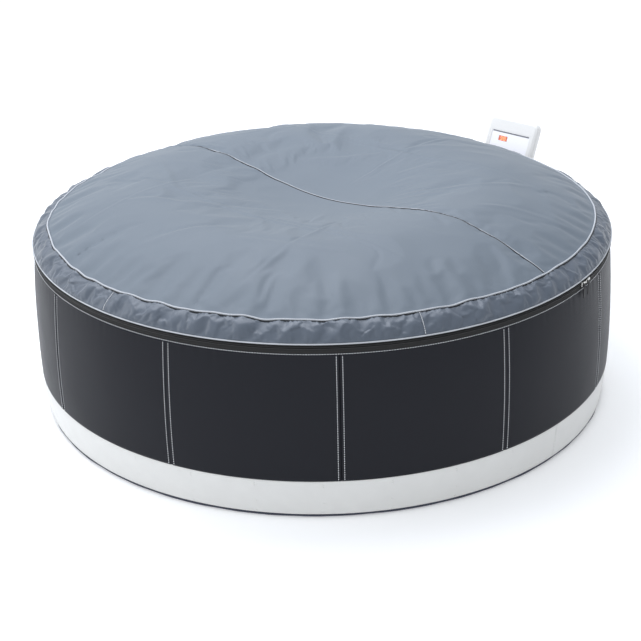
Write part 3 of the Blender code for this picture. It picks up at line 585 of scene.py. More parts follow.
# ---- the tub's outline ------------------------------------------------------------------
@dataclass(frozen=True)
class TubOutline:
    """Radii and heights that the sewn and welded parts share."""

    widest: float = 1.020
    fullest_height: float = 0.25
    lean_span: float = 0.35
    lean: float = 0.020
    foot_radius: float = 1.0040
    band_flare: float = 0.0125
    zip_radius: float = 1.0050
    seam_pitch: float = 30.9
    middle_seam: float = -44.9
    front_panels: int = 4
    panels: int = 12
    near_side: float = -47.25
    sag: float = 0.018

    def jacket_radius(self, height: np.ndarray) -> np.ndarray:
        """Outside radius of the jacket."""
        return self.widest - self.lean * ((height - self.fullest_height) / self.lean_span) ** 2

    def band_radius(self, share: np.ndarray) -> np.ndarray:
        """Outside radius of the base band, from 0 at its foot to 1 at its top."""
        return self.foot_radius + self.band_flare * np.sin(share * math.pi / 2)

    def far_sag(self, azimuth: np.ndarray) -> np.ndarray:
        """How far the rim and the lid on it sag on the soft far side, azimuths in radians."""
        return self.sag * smoothstep(-0.3, 0.6, -np.cos(azimuth - math.radians(self.near_side)))

    def seams(self) -> list[float]:
        """Azimuths of the jacket's upright seams, in degrees."""
        first = self.middle_seam - self.seam_pitch * self.front_panels / 2
        front = [first + self.seam_pitch * i for i in range(self.front_panels + 1)]
        rear = self.panels - self.front_panels
        pitch = (360.0 - self.seam_pitch * self.front_panels) / rear
        return front + [front[-1] + pitch * i for i in range(1, rear)]


TUB = TubOutline()


# ---- lid --------------------------------------------------------------------------------
@dataclass
class Lid:
    """Folding thermal lid: top cloth, skirt, piping, air pads, foil liner and zip tape."""

    edge_radius: float = 0.9475
    edge_height: float = 0.648
    peak_height: float = 0.745
    peak_radius: float = 0.585
    centre_height: float = 0.682
    fall: float = 1.6
    skirt_foot_radius: float = 1.0052
    skirt_foot_height: float = 0.5965
    underside: float = 0.622
    fold_width: float = 0.14
    pattern_inner: float = 0.9
    pattern_width: float = 0.1
    edge_piping: float = 0.0028
    hem_piping: float = 0.0023
    seam_piping: float = 0.0022
    skirt_seams: tuple[float, ...] = (-90.0, -30.0, 30.0, 90.0, 150.0, 210.0)
    # Packing folds and pulls across the top: ends (x, y), height and half width in mm.
    creases: tuple[tuple[float, float, float, float, float, float], ...] = (
        (-0.80, -0.40, 0.88, -0.34, 1.5, 9.0),
        (-0.42, -0.84, -0.36, -0.05, 1.2, 9.0),
        (0.36, -0.87, 0.30, -0.10, 1.3, 9.0),
        (-0.86, 0.38, 0.86, 0.44, 1.3, 9.0),
        (0.02, 0.10, 0.06, 0.92, 1.2, 9.0),
        (-0.45, -0.62, 0.10, -0.20, 2.2, 20.0),
        (-0.75, -0.15, -0.25, -0.42, 1.8, 18.0),
        (-0.10, -0.80, 0.12, -0.46, 2.6, 22.0),
        (0.12, -0.62, 0.52, -0.42, 1.8, 18.0),
        (0.45, -0.80, 0.42, -0.62, 3.0, 14.0),
        (0.25, 0.10, 0.62, 0.46, 2.4, 18.0),
        (-0.30, 0.15, 0.20, 0.62, 2.2, 20.0),
        (0.55, 0.12, 0.85, 0.30, 1.8, 16.0),
        (-0.62, 0.10, -0.38, 0.66, 2.0, 18.0),
    )

    def height(self, radius: np.ndarray) -> np.ndarray:
        """Top of the lid: a shallow dish inside a raised ring that falls to its edge."""
        inner = np.clip(radius / self.peak_radius, 0.0, 1.0)
        outer = np.clip((radius - self.peak_radius) / (self.edge_radius - self.peak_radius), 0.0, 1.0)
        rise = (1 - np.cos(inner * math.pi)) / 2
        dish = self.centre_height + (self.peak_height - self.centre_height) * rise
        return dish - (self.peak_height - self.edge_height) * outer**self.fall

    def edge_wave(self, azimuth: np.ndarray) -> tuple[np.ndarray, np.ndarray]:
        """How far the sewn edge wanders out and up at each azimuth in radians."""
        # The gathers are strongest on the near side, away from the console.
        strength = fullness(azimuth, 0.55, 0.45, 95.0)
        out = 0.0035 * ripple(azimuth, (9, 17, 26, 34), 11) * strength
        rise = 0.0080 * ripple(azimuth, (7, 16, 23, 31, 43, 61), 12) * strength
        return out, rise - TUB.far_sag(azimuth)

    def top_shape(self, places: np.ndarray) -> np.ndarray:
        """Drape the flat disc over the pads, with its folds and pulls."""
        radius = radius_of(places)
        azimuth = azimuth_of(places)
        share = radius / self.edge_radius
        out, rise = self.edge_wave(azimuth)
        near_edge = smoothstep(0.72, 1.0, share)
        sag = TUB.far_sag(azimuth)
        height = self.height(radius) + (rise + sag) * near_edge - sag * smoothstep(0.45, 1.0, share)
        height += 0.0035 * ripple(azimuth, (5, 8, 13), 14) * bump_line(radius - self.peak_radius - 0.06, 0.16)
        swell = np.array([noise.noise(Vector((x * 3.1, y * 3.1, 4.0))) for x, y in places[:, :2]])
        ridge = np.array([noise.noise(Vector((x * 6.5 + 3, y * 6.5, 9.0))) for x, y in places[:, :2]])
        inside = 1.0 - smoothstep(0.93, 1.0, share)
        height += (0.0045 * swell + 0.0030 * (0.35 - np.abs(ridge)) * 2) * inside * smoothstep(
            0.05, 0.35, share
        )
        height += self.crease_height(places) * inside
        gathers = ripple(azimuth, (29, 41, 58, 73, 88), 13)
        height += 0.0028 * gathers * smoothstep(0.78, 0.93, share) * (1 - smoothstep(0.97, 1.0, share))
        # The cloth dips into its seam.
        height -= 0.0022 * bump_line(places[:, 1], 0.008)
        shaped = np.column_stack([places[:, 0], places[:, 1], height])
        return radial_shift(shaped, out * near_edge)

    def crease_height(self, places: np.ndarray) -> np.ndarray:
        """Height of every crease at each place."""
        total = np.zeros(len(places))
        for x0, y0, x1, y1, high, wide in self.creases:
            start, along = np.array([x0, y0]), np.array([x1 - x0, y1 - y0])
            length = float(np.hypot(*along))
            along /= length
            rest = places[:, :2] - start
            run = rest @ along
            bend = 0.012 * np.sin(run / length * 5.0 + x0 * 9)
            off = rest @ np.array([-along[1], along[0]]) - bend
            fade = smoothstep(0.0, 0.25 * length, run) * (1 - smoothstep(0.7 * length, length, run))
            total += high * MM * bump_line(off, wide * MM) * fade
            total -= 0.6 * high * MM * bump_line(off - 1.3 * wide * MM, wide * MM) * fade
        return total

    def blend_across(self, made: bpy.types.Object, slot: str, *nodes: str) -> bpy.types.Object:
        """Bake a sewn piece's place into its mesh and let it stand for CAD nodes."""
        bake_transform(made)
        if nodes:
            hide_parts(*nodes)
        LOG.info("%s bends over the lid's fold", made.name)
        return made

    def top_cloth(self) -> bpy.types.Object:
        """The round of coated cloth over both pads."""
        rings, steps = 112, 640
        profile = [(self.edge_radius * i / rings, 0.0) for i in range(rings + 1)]
        bm = spun(profile, steps)
        reshape(bm, self.top_shape)
        made = piece(bm, "lid_top_cloth", LID_CLOTH, upwards, ALL_SMOOTH)
        settle(made, self.top_pins, self.top_reach, 0.009, 0.02, 14)
        self.blend_across(made, "lid_cloth", "lid_front_top", "lid_rear_top")
        return made

    def top_pins(self, places: np.ndarray) -> np.ndarray:
        """Sewn at its edge and its seam, and lying on the pads between."""
        radius = radius_of(places)
        sewn = (radius > self.edge_radius - 0.012) | (np.abs(places[:, 1]) < 0.004)
        return np.where(sewn, 1.0, 0.015)

    def top_reach(self, places: np.ndarray) -> np.ndarray:
        """Slack there is in the cloth: none in the taut middle, most out by the pads' edge."""
        return 0.0075 * smoothstep(0.16, 0.50, radius_of(places))

    def skirt_place(self, azimuth: np.ndarray, share: np.ndarray) -> np.ndarray:
        """Points of the skirt, from its head at 0 to its foot at 1."""
        out, rise = self.edge_wave(azimuth)
        head_r, head_z = self.edge_radius + out, self.edge_height + rise - 0.001
        radius = head_r + (self.skirt_foot_radius - head_r) * share
        height = head_z + (self.skirt_foot_height - head_z) * share
        lean = azimuth + 0.05 * share
        full = fullness(azimuth, 0.55, 0.45, 70.0)
        gathers = 0.0045 * ripple(lean, (11, 19, 33), 21) + 0.0070 * ripple(lean, (41, 57, 83), 22)
        puff = 0.0050 + (0.0050 + gathers) * full
        lift = np.maximum(puff, 0.004) * np.sin(share * math.pi)
        return np.column_stack([
            (radius + lift * 0.75) * np.cos(azimuth),
            (radius + lift * 0.75) * np.sin(azimuth),
            height + lift * 0.66,
        ])

    def skirt_shape(self, places: np.ndarray) -> np.ndarray:
        """Give the flat ring its slope, its swell and its gathers."""
        azimuth = azimuth_of(places)
        radius = radius_of(places)
        share = np.clip((radius - self.pattern_inner) / self.pattern_width, 0.0, 1.0)
        shaped = self.skirt_place(azimuth, share)
        crumple = np.array([
            noise.turbulence(Vector((math.cos(a) * 17 + s * 1.4, math.sin(a) * 17, s * 1.1)), 3, False)
            for a, s in zip(azimuth, share)
        ])
        strength = fullness(azimuth, 0.6, 0.4, 95.0)
        push = np.maximum(0.013 * (crumple - 0.5), -0.0030) * np.sin(share * math.pi) ** 0.7 * strength
        seam = np.zeros_like(azimuth)
        for line in self.skirt_seams:
            away = turn_from(azimuth, line)
            seam += bump_line(away * self.edge_radius, 0.005)
        return radial_shift(shaped, push - 0.0016 * seam)

    def skirt(self) -> bpy.types.Object:
        """The gathered strip between the lid's edge and the zipper."""
        rows, steps = 20, 1500
        profile = [(self.pattern_inner + self.pattern_width * i / rows, 0.0) for i in range(rows + 1)]
        bm = spun(profile, steps)
        reshape(bm, self.skirt_shape)
        # The skirt's darker cloth is painted shade.
        made = piece(bm, "lid_skirt", SHADED_SKIRT_CLOTH, away_from_axis, ALL_SMOOTH)
        settle(made, self.skirt_pins, self.skirt_reach, 0.045, 0.6, 18)
        self.blend_across(made, "lid_cloth", "lid_front_skirt", "lid_rear_skirt")
        return made

    def skirt_pins(self, places: np.ndarray) -> np.ndarray:
        """Sewn along its head, its foot and its short seams."""
        azimuth = azimuth_of(places)
        radius = radius_of(places)
        height = places[:, 2]
        sewn = height < self.skirt_foot_height + 0.0005
        out, rise = self.edge_wave(azimuth)
        off_edge = np.abs(radius - self.edge_radius - out)
        off_edge += np.abs(height - self.edge_height - rise + 0.001)
        sewn |= off_edge < 0.0006
        for line in self.skirt_seams:
            away = turn_from(azimuth, line)
            sewn |= np.abs(away) * self.edge_radius < 0.003
        return np.where(sewn, 1.0, 0.0)

    def skirt_reach(self, places: np.ndarray) -> np.ndarray:
        """Slack in the gathered strip, little of it near the zipper."""
        return 0.0030 + 0.0065 * smoothstep(0.0, 0.022, places[:, 2] - self.skirt_foot_height)

    def ring_cord(
        self, name: str, radius: float, height: float, wave: bool, size: float, finish: Finish
    ) -> None:
        """A piping cord sewn all round, either along the wavy edge or along the hem."""
        azimuth = np.linspace(0, math.tau, 1080, endpoint=False)
        still = np.zeros_like(azimuth)
        out, rise = self.edge_wave(azimuth) if wave else (still, still)
        outs = np.column_stack([np.cos(azimuth), np.sin(azimuth), still])
        path = outs * (radius + out)[:, None]
        path[:, 2] = height + rise
        bm = path_tube(path, outs, size, closed=True)
        self.blend_across(piece(bm, name, finish), "lid_cloth")

    def seam_cord(self, top: bpy.types.Object) -> None:
        """Piping along the seam between the halves, lying on the cloth, with a dark cord beside it as its
        painted shadow.
        """
        reach = self.edge_radius - 0.006
        across = np.linspace(-reach, reach, 260)
        tree = surface_tree(top)
        for name, shift, size, finish in (
            ("lid_seam_piping", 0.0, self.seam_piping, PIPING),
            # A dark cord beside the seam piping, painted as its shadow.
            ("lid_seam_piping_shadow", -self.seam_piping * 1.5, self.seam_piping * 0.8, PIPING_SHADOW),
        ):
            path = np.array([
                [x, shift, surface_height(tree, x, shift, self.edge_height) + size * 0.6] for x in across
            ])
            outs = np.zeros_like(path) + np.array([0.0, 1.0, 0.0])
            self.blend_across(piece(path_tube(path, outs, size, closed=False), name, finish), "lid_cloth")

    def skirt_seam_cords(self) -> None:
        """A short stitched seam down the skirt at each join of its strips."""
        bm = bmesh.new()
        for line in self.skirt_seams:
            if abs(math.sin(math.radians(line))) < 0.05:
                continue
            share = np.linspace(0.02, 0.98, 12)
            azimuth = np.full(12, math.radians(line))
            points = self.skirt_place(azimuth, share)
            outs = np.column_stack([np.cos(azimuth), np.sin(azimuth), np.full(12, 0.8)])
            stitch_row(bm, points + outs * 0.0006, outs, 0.0066, 0.0030)
        self.blend_across(piece(bm, "lid_skirt_stitching", THREAD), "lid_cloth")

    def liner(self) -> None:
        """Crinkled foil lining under the pads, facing the water."""
        rim = [(0.770, self.underside), (0.805, 0.6250), (0.850, 0.6330), (0.900, 0.6390), (0.936, 0.6370)]
        flat = [(0.770 * i / 44, self.underside) for i in range(44)]
        bm = spun(flat + rim, 360)

        def crinkle(places: np.ndarray) -> np.ndarray:
            crumple = np.array(
                [noise.turbulence(Vector((x * 14, y * 14, 2.0)), 3, True) for x, y in places[:, :2]]
            )
            shaped = places.copy()
            radius = radius_of(places)
            shaped[:, 2] += 0.0008 * (crumple - 0.6) * (1 - smoothstep(0.74, 0.80, radius))
            azimuth = azimuth_of(places)
            shaped[:, 2] -= TUB.far_sag(azimuth) * smoothstep(0.77, 0.88, radius)
            return shaped

        reshape(bm, crinkle)
        made = piece(bm, "lid_foil_liner", FOIL, lambda c: -upwards(c), ALL_SMOOTH)
        self.blend_across(made, "foil", "lid_front_liner", "lid_rear_liner")

    def pad(self, side: str, sign: float) -> None:
        """One half-moon air pad, swollen between its welds."""
        low = self.underside + 0.004
        radii = np.linspace(0.0, 0.775, 24)
        over = [(r, float(self.height(r)) - 0.012 - 0.016 * float(smoothstep(0.5, 0.8, r))) for r in radii]
        under = [(r, low) for r in radii]
        edge = [(0.795, low + 0.008), (0.800, low + 0.020), (0.792, low + 0.034)]
        bm = spun(under + edge + over[::-1], 160)
        cut = bmesh.ops.bisect_plane(
            bm, geom=bm.verts[:] + bm.edges[:] + bm.faces[:], plane_co=(0, sign * 0.006, 0),
            plane_no=(0, -sign, 0), clear_outer=True,
        )
        rim = [e for e in cut["geom_cut"] if isinstance(e, bmesh.types.BMEdge)]
        bmesh.ops.edgeloop_fill(bm, edges=rim)
        made = piece(bm, f"lid_pad_{side}", GREY_VINYL)
        self.blend_across(made, "grey_pvc", f"bladder_{side}")

    def zip_tape(self) -> None:
        """The lid's half of the zipper tape, under the hem."""
        low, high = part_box("zipper_tape_lid_front")[0].z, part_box("zipper_tape_lid_front")[1].z
        rows = 5
        profile = [(TUB.zip_radius, low + (high - low) * i / rows) for i in range(rows + 1)]
        made = piece(spun(profile, 720), "lid_zip_tape", ZIP_TAPE, away_from_axis, ALL_SMOOTH)
        thicken(made, TAPE_THICKNESS)
        self.blend_across(made, "zipper_tape", "zipper_tape_lid_front", "zipper_tape_lid_rear")
        teeth = coil(low + COIL_INSET, COIL_SIZE)
        self.blend_across(piece(teeth, "lid_zip_coil", ZIP_TEETH), "zipper_tape")

    def build(self) -> None:
        """Make the pads first, because the cloth lies on them."""
        self.pad("rear", 1.0)
        self.pad("front", -1.0)
        top = self.top_cloth()
        self.skirt()
        self.ring_cord(
            "lid_edge_piping", self.edge_radius + 0.0015, self.edge_height + 0.0012, True, self.edge_piping,
            PIPING
        )
        # A dark cord under the edge piping, painted as its shadow.
        self.ring_cord(
            "lid_edge_piping_shadow", self.edge_radius + 0.0040, self.edge_height - 0.0032, True,
            self.edge_piping * 0.8, PIPING_SHADOW
        )
        self.ring_cord(
            "lid_hem_piping", self.skirt_foot_radius + 0.0012, self.skirt_foot_height - 0.0026, False,
            self.hem_piping, PIPING
        )
        self.seam_cord(top)
        self.skirt_seam_cords()
        self.liner()
        self.zip_tape()


def surface_tree(made: bpy.types.Object) -> BVHTree:
    """A search tree over a piece's own mesh."""
    bm = bmesh.new()
    bm.from_mesh(made.data)
    tree = BVHTree.FromBMesh(bm)
    bm.free()
    return tree


def surface_height(tree: BVHTree, x: float, y: float, default: float) -> float:
    """Height of the surface under a point, or the default past its edge."""
    hit = tree.ray_cast(Vector((x, y, 2.0)), Vector((0, 0, -1)))[0]
    return default if hit is None else hit.z


def coil(height: float, size: float) -> bmesh.types.BMesh:
    """A zipper's coil of teeth, all round the tub at one height."""
    # A real tooth is 1.5 mm; these are 5 mm so that they show.
    teeth = 1260
    profile = [
        (TUB.zip_radius + size * 0.6 + size * math.cos(t), height + size * math.sin(t))
        for t in (math.tau * i / 6 for i in range(6))
    ]
    bm = spun(profile, 2 * teeth, closed=True)

    def notch(places: np.ndarray) -> np.ndarray:
        turn = azimuth_of(places) / math.tau * teeth
        return radial_shift(places, np.where(np.abs(turn - np.round(turn)) < 0.2, 0.0006, -0.0006))

    reshape(bm, notch)
    return bm


# ---- sides ------------------------------------------------------------------------------
@dataclass
class Sides:
    """Leatherette jacket with its seams, the tub's half of the zipper, base band and mat."""

    stitch_gap: float = 0.0095
    stitch_pitch: float = 0.0080
    stitch_length: float = 0.0068
    thread: float = 0.0030
    top_rows: tuple[float, ...] = (0.0024,)
    groove: float = 0.0022

    def __post_init__(self) -> None:
        """Read the heights that the frame fixes."""
        low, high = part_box("jacket_section_1")
        self.low, self.high = low.z, high.z
        self.band_low, self.band_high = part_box("base_band")[0].z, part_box("base_band")[1].z

    def jacket_shape(self, places: np.ndarray, seams: Sequence[float]) -> np.ndarray:
        """Pull the smooth jacket in at its seams and pucker it under the zipper."""
        azimuth = azimuth_of(places)
        height = places[:, 2]
        push = np.zeros(len(places))
        for seam in seams:
            away = turn_from(azimuth, seam) * TUB.widest
            push -= self.groove * bump_line(away, 0.0055)
            push += 0.0006 * bump_line(np.abs(away) - 0.006, 0.003)
            # Short pulls that run out from the stitches.
            pull = np.sin(height * 210 + seam) * np.sin(height * 93 + 2 * seam)
            push += 0.0005 * pull * bump_line(np.abs(away) - 0.016, 0.014)
        below = self.high - height
        pleats = ripple(azimuth, (137, 171, 212, 259), 31)
        patch = smoothstep(-0.3, 0.6, ripple(azimuth, (5, 9, 14), 32))
        push += 0.0016 * pleats * np.exp(-below / 0.030) * (0.25 + 0.75 * patch)
        slack = np.array(
            [noise.noise(Vector((math.cos(a) * 5, math.sin(a) * 5, z * 2.2)))
            for a, z in zip(azimuth, height)]
        )
        middle = np.sin(np.clip((height - self.low) / (self.high - self.low), 0, 1) * math.pi)
        push += 0.0022 * slack * middle
        return radial_shift(places, push)

    def jacket(self) -> None:
        """Six sewn sections of two panels each."""
        seams = TUB.seams()
        rows = 64
        heights = np.linspace(self.low, self.high, rows + 1)
        profile = [(float(TUB.jacket_radius(z)), float(z)) for z in heights]
        for index in range(0, TUB.panels, 2):
            start, middle = seams[index], seams[index + 1]
            end = seams[index + 2] if index + 2 < TUB.panels else seams[0] + 360.0
            sweep = end - start
            bm = spun(profile, int(sweep / 0.25), start=start, sweep=sweep)
            reshape(bm, lambda places: self.jacket_shape(places, (start, middle, end)))
            number = index // 2 + 1
            made = piece(bm, f"jacket_panels_{number}", LEATHERETTE, away_from_axis, ALL_SMOOTH)
            thicken(made, 0.0015)
            dress(made, "tub", "leatherette", f"jacket_section_{number}")

    def stitching(self) -> None:
        """Twin rows down every seam, and one round the top edge."""
        down = bmesh.new()
        heights = np.arange(self.low + 0.003, self.high - 0.002, self.stitch_pitch)
        for seam in TUB.seams():
            for side in (-1, 1):
                azimuth = math.radians(seam) + side * self.stitch_gap / TUB.widest
                out = np.array([math.cos(azimuth), math.sin(azimuth), 0.0])
                points = out * (TUB.jacket_radius(heights) + 0.0006)[:, None]
                points[:, 2] = heights
                stitch_row(down, points, np.tile(out, (len(heights), 1)), self.stitch_length, self.thread)
        dress(piece(down, "jacket_seam_stitching", THREAD), "tub", "leatherette")
        around = bmesh.new()
        for drop in self.top_rows:
            height = self.high - drop
            radius = float(TUB.jacket_radius(height)) + 0.0008
            azimuth = np.linspace(0, math.tau, int(math.tau * radius / self.stitch_pitch))
            outs = np.column_stack([np.cos(azimuth), np.sin(azimuth), np.zeros_like(azimuth)])
            points = outs * radius
            points[:, 2] = height
            stitch_row(around, points, outs, self.stitch_length, self.thread)
        dress(piece(around, "jacket_top_stitching", THREAD), "tub", "leatherette")

    def zipper(self) -> None:
        """The tub's half of the zipper: tape and coil."""
        low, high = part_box("zipper_tape_tub")[0].z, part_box("zipper_tape_tub")[1].z
        rows = 6
        profile = [(TUB.zip_radius, low + (high - low) * i / rows) for i in range(rows + 1)]
        made = piece(spun(profile, 720), "tub_zip_tape", ZIP_TAPE, away_from_axis, ALL_SMOOTH)
        thicken(made, TAPE_THICKNESS)
        dress(made, "tub", "zipper_tape", "zipper_tape_tub")
        dress(piece(coil(high - COIL_INSET, COIL_SIZE), "tub_zip_coil", ZIP_TEETH), "tub", "zipper_tape")

    def band(self) -> None:
        """White vinyl band with a welded bead at its top and foot."""
        rows = 40
        shares = np.linspace(0.0, 1.0, rows + 1)
        beads = 0.0014 * bump_line(shares - 0.955, 0.02) - 0.0010 * bump_line(shares - 0.915, 0.015)
        beads += 0.0012 * bump_line(shares - 0.03, 0.02)
        profile = [
            (float(TUB.band_radius(s) + b), float(self.band_low + (self.band_high - self.band_low) * s))
            for s, b in zip(shares, beads)
        ]
        bm = spun(profile, 960)

        def slack(places: np.ndarray) -> np.ndarray:
            azimuth = azimuth_of(places)
            share = (places[:, 2] - self.band_low) / (self.band_high - self.band_low)
            wave = ripple(azimuth, (6, 11, 19), 41) + 0.5 * ripple(azimuth + share * 0.12, (31, 47, 66), 42)
            return radial_shift(places, 0.0016 * wave * np.sin(np.clip(share, 0, 1) * math.pi))

        reshape(bm, slack)
        made = piece(bm, "base_band_vinyl", WHITE_VINYL, away_from_axis, ALL_SMOOTH)
        thicken(made, 0.0012)
        dress(made, "tub", "white_pvc", "base_band")

    def mat(self) -> None:
        """Padded ground mat with a rolled hem."""
        low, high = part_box("ground_mat")
        radius, top = high.x, high.z
        hem = 0.0046
        arc = [
            (radius - hem + hem * math.sin(t), top / 2 - hem * math.cos(t))
            for t in (math.pi * i / 8 for i in range(9))
        ]
        flat = [(radius * i / 20 * 0.98, 0.0012) for i in range(21)]
        upper = [(radius * i / 20 * 0.98, top - 0.0012) for i in range(20, -1, -1)]
        bm = spun(flat + arc + upper, 480)

        def hem_wave(places: np.ndarray) -> np.ndarray:
            azimuth = azimuth_of(places)
            radius_here = radius_of(places)
            rim = smoothstep(radius * 0.97, radius, radius_here)
            return radial_shift(places, 0.0022 * rim * ripple(azimuth, (8, 15, 27, 52), 43))

        reshape(bm, hem_wave)
        made = piece(bm, "ground_mat_cloth", NAVY_CLOTH)
        dress(made, "tub", "mat", "ground_mat")

    def build(self) -> None:
        """Make the side pieces from the ground up."""
        self.mat()
        self.band()
        self.jacket()
        self.stitching()
        self.zipper()


# ---- bathing space ----------------------------------------------------------------------
@dataclass
class BathingSpace:
    """Inner wall, floor, rounded rim and the bubble channel."""

    weld_pitch: float = 0.088
    swell: float = 0.0060
    jets: int = 60

    def build(self) -> None:
        """Make the welded sheets that show when the lid is off."""
        wall_low, wall_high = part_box("inner_wall_sheet")
        radius = wall_high.x - 0.0012
        rows = 72
        heights = np.linspace(wall_low.z, wall_high.z, rows + 1)
        swell = self.swell * np.abs(np.sin((heights - wall_low.z) / self.weld_pitch * math.pi)) ** 0.6
        profile = [(radius - float(s), float(z)) for s, z in zip(swell, heights)]
        wall = piece(spun(profile, 480), "inner_wall", GREY_VINYL, towards_axis, ALL_SMOOTH)
        thicken(wall, WELDED_FILM)
        dress(wall, "tub", "grey_pvc", "inner_wall_sheet")

        rim_low, rim_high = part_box("rim_sheet")
        middle, half = (rim_high.x + radius) / 2, (rim_high.x - radius) / 2
        arc = [
            (middle + half * math.cos(t), rim_low.z + (rim_high.z - rim_low.z) * math.sin(t))
            for t in (math.pi * i / 40 for i in range(41))
        ]
        bm = spun(arc, 480)

        def sag(places: np.ndarray) -> np.ndarray:
            shaped = places.copy()
            share = (places[:, 2] - rim_low.z) / (rim_high.z - rim_low.z)
            shaped[:, 2] -= TUB.far_sag(azimuth_of(places)) * share
            return shaped

        reshape(bm, sag)
        rim = piece(bm, "rounded_rim", GREY_VINYL, upwards, ALL_SMOOTH)
        thicken(rim, WELDED_FILM)
        dress(rim, "tub", "grey_pvc", "rim_sheet")

        floor_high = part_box("floor_sheet")[1]
        flat = [(radius * i / 90, floor_high.z) for i in range(91)]
        bm = spun(flat, 300)

        def dimples(places: np.ndarray) -> np.ndarray:
            shaped = places.copy()
            cell = np.sin(places[:, 0] * math.tau / 0.11) * np.sin(places[:, 1] * math.tau / 0.11)
            shaped[:, 2] -= 0.0008 * smoothstep(0.2, 0.9, cell) * (
                radius_of(places) < 0.72
            )
            return shaped

        reshape(bm, dimples)
        floor = piece(bm, "bathing_floor", GREY_VINYL, upwards, ALL_SMOOTH)
        dress(floor, "tub", "grey_pvc", "floor_sheet")

        low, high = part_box("bubble_ring")
        width = 0.046
        quarter = [
            (high.x - 0.0005 - width * math.sin(t), low.z + (high.z - low.z) * math.cos(t))
            for t in (math.pi / 2 * i / 16 for i in range(17))
        ]
        channel = piece(spun(quarter, 360), "bubble_channel", GREY_VINYL, towards_axis, ALL_SMOOTH)
        thicken(channel, WELDED_FILM)
        dress(channel, "tub", "grey_pvc", "bubble_ring")
        holes = bmesh.new()
        for i in range(self.jets):
            turn = Matrix.Rotation(math.tau * i / self.jets, 4, "Z")
            seat = Vector((high.x - width * 0.72, 0, low.z + (high.z - low.z) * 0.72))
            tilt = Matrix.Rotation(math.radians(-45), 4, "Y")
            bmesh.ops.create_cone(
                holes, cap_ends=True, segments=12, radius1=0.0042, radius2=0.0030, depth=0.0030,
                matrix=turn @ Matrix.Translation(seat) @ tilt,
            )
        dress(piece(holes, "bubble_jets", GREY_ABS, sharp=30.0), "tub", "grey_pvc")


# ---- console ----------------------------------------------------------------------------
@dataclass
class Console:
    """Pump housing: its printed face and lit display."""

    lean: float = 22.95
    overlay_up: float = 0.0015
    recess_shade_height: float = 0.0042
    digits: str = "38"
    digit: tuple[float, float] = (0.0090, 0.0135)
    digit_pitch: float = 0.0150
    stroke: float = 0.0022

    def face(self, node: str, across: float, up: float, out: float) -> Matrix:
        """A frame on the sloping face, from the middle of one of its pieces."""
        low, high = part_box(node)
        turn = math.radians(self.lean)
        rise, normal = Vector((0, math.sin(turn), math.cos(turn))), Vector(
            (0, -math.cos(turn), math.sin(turn))
        )
        side = Vector((1, 0, 0))
        place = (low + high) / 2 + side * across + rise * up + normal * out
        return Matrix.Translation(place) @ Matrix((side, rise, normal)).transposed().to_4x4()

    def bar(self, bm: bmesh.types.BMesh, frame: Matrix, width: float, height: float, thick: float) -> None:
        """Add a thin bar with soft edges in a frame of the face."""
        made = bmesh.ops.create_cube(
            bm, size=1.0, matrix=frame @ Matrix.Diagonal((width, height, thick, 1.0))
        )
        edges = list({e for v in made["verts"] for e in v.link_edges})
        bmesh.ops.bevel(bm, geom=edges, offset=min(width, height, thick) * 0.3, segments=2, profile=0.5,
                        affect="EDGES", material=-1)

    def number(self) -> bmesh.types.BMesh:
        """The display's digits, each from the bars that are lit."""
        wide, tall = self.digit
        bars = {
            "top": (0.0, tall / 2, True), "middle": (0.0, 0.0, True), "bottom": (0.0, -tall / 2, True),
            "left_up": (-wide / 2, tall / 4, False), "left_down": (-wide / 2, -tall / 4, False),
            "right_up": (wide / 2, tall / 4, False), "right_down": (wide / 2, -tall / 4, False),
        }
        lit = {"3": ("top", "middle", "bottom", "right_up", "right_down"), "8": tuple(bars)}
        bm = bmesh.new()
        for i, figure in enumerate(self.digits):
            start = (i - (len(self.digits) - 1) / 2) * self.digit_pitch
            for name in lit[figure]:
                across, up, level = bars[name]
                frame = self.face("display_window", start + across, up, self.overlay_up + 0.0004)
                size = (wide * 0.8, self.stroke) if level else (self.stroke, tall * 0.42)
                self.bar(bm, frame, *size, 0.0006)
        return bm

    def build(self) -> None:
        """Add a dark bar of painted shade under the recess edge at the overlay's top, and the display's
        digits.
        """
        low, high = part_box("control_overlay")
        tall, wide = (high.z - low.z) / math.cos(math.radians(self.lean)), high.x - low.x
        # The dark bar is painted shade, where the shell's recess edge shades the overlay.
        line = bmesh.new()
        frame = self.face("control_overlay", 0.0, tall / 2 - self.recess_shade_height, self.overlay_up + 0.0002)
        self.bar(line, frame, wide * 0.97, self.recess_shade_height, 0.0008)
        dress(piece(line, "overlay_top_painted_shade", RECESS_SHADE), "tub", "overlay")
        dress(piece(self.number(), "display_digits", LED_DIGIT), "tub", "overlay")


# ---- carried-over fittings --------------------------------------------------------------
def dress_fittings(frame: dict) -> None:
    """Give every CAD node that keeps its own shape its finish."""
    for finish, names in CAD_FINISHES.items():
        for name in names:
            mesh = frame["nodes"][name].data
            mesh.materials.clear()
            mesh.materials.append(finish.make())
            LOG.info("%s is finished in %s", name, finish.name)


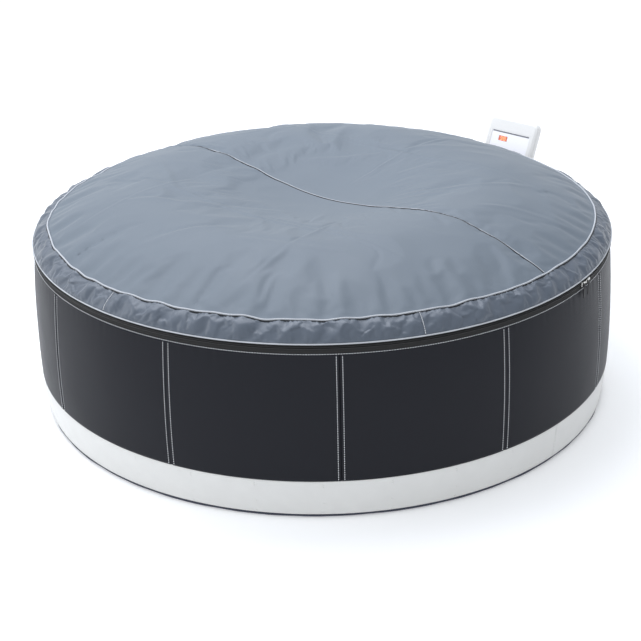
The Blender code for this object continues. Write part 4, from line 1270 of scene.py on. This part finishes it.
# ---- room -------------------------------------------------------------------------------
@dataclass
class Room:
    """Pale floor, soft light and the camera."""

    floor_size: float = 60.0
    azimuth: float = 42.75
    elevation: float = 24.904
    distance: float = 5.4952
    roll: float = -1.305
    lens: float = 84.83
    aim: tuple[float, float, float] = (-0.0087, -0.0081, 0.2042)
    world: float = 0.9
    shade_side: tuple[float, float, float] = (0.74, 0.67, 0.0)

    def camera(self) -> None:
        """Stand the camera off the aim point and give it its slight roll."""
        turn, up = math.radians(self.azimuth), math.radians(self.elevation)
        back = Vector((math.sin(turn) * math.cos(up), -math.cos(turn) * math.cos(up), math.sin(up)))
        lens = bpy.data.cameras.new("camera")
        lens.lens = self.lens
        made = bpy.data.objects.new("camera", lens)
        made.location = Vector(self.aim) + back * self.distance
        facing = (-back).to_track_quat("-Z", "Y").to_matrix().to_4x4()
        made.matrix_world = Matrix.Translation(made.location) @ facing @ Matrix.Rotation(
            math.radians(self.roll), 4, "Z"
        )
        lens.clip_end = 200.0
        bpy.context.scene.collection.objects.link(made)
        bpy.context.scene.camera = made

    def light(
        self, name: str, size: float, power: float, place: tuple[float, float, float], colour: str
    ) -> None:
        """Hang a square softbox that faces the tub."""
        lamp = bpy.data.lights.new(name, "AREA")
        lamp.shape, lamp.size, lamp.energy = "SQUARE", size, power
        lamp.color = srgb(colour)[:3]
        made = bpy.data.objects.new(name, lamp)
        made.matrix_world = Matrix.Translation(Vector(place)) @ (
            (Vector((0, 0, 0.4)) - Vector(place)).to_track_quat("-Z", "Y").to_matrix().to_4x4()
        )
        bpy.context.scene.collection.objects.link(made)

    def build(self) -> None:
        """Lay the floor, light it and set the camera."""
        bm = bmesh.new()
        bmesh.ops.create_grid(bm, x_segments=1, y_segments=1, size=self.floor_size / 2)
        bmesh.ops.translate(bm, verts=bm.verts, vec=(0, 0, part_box("ground_mat")[0].z - 0.0005))
        floor = piece(bm, "studio_floor", STUDIO_PAPER)
        world = bpy.data.worlds.new("studio")
        world.use_nodes = True
        sky = world.node_tree.nodes["Background"]
        sky.inputs["Color"].default_value = srgb("#f4f7fb")
        # The daylight comes from one side: its strength falls evenly across the sky.
        place = add_node(world.node_tree, "TexCoord", {}, {}).outputs["Generated"]
        side = add_node(
            world.node_tree, "VectorMath", {"operation": "DOT_PRODUCT", 1: self.shade_side}, {0: place}
        )
        strength = add_node(
            world.node_tree, "MapRange",
            {"From Min": -1.0, "From Max": 1.0, "To Min": self.world * 1.35, "To Max": self.world * 0.65},
            {"Value": side.outputs["Value"]},
        )
        world.node_tree.links.new(strength.outputs["Result"], sky.inputs["Strength"])
        bpy.context.scene.world = world
        bpy.context.scene.view_settings.view_transform = "Standard"
        self.light("top_softbox", 5.0, 260.0, (-1.5, 0.5, 5.0), "#f2f6ff")
        self.light("side_softbox", 3.0, 40.0, (-4.0, -4.5, 3.0), "#ffffff")
        self.camera()


def main() -> None:
    """Build every sub-assembly in turn, from the room inwards."""
    logging.basicConfig(level=logging.INFO, format="%(name)s: %(message)s")
    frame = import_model()
    Room().build()
    Sides().build()
    Lid().build()
    BathingSpace().build()
    Console().build()
    dress_fittings(frame)


if __name__ == "__main__":
    main()
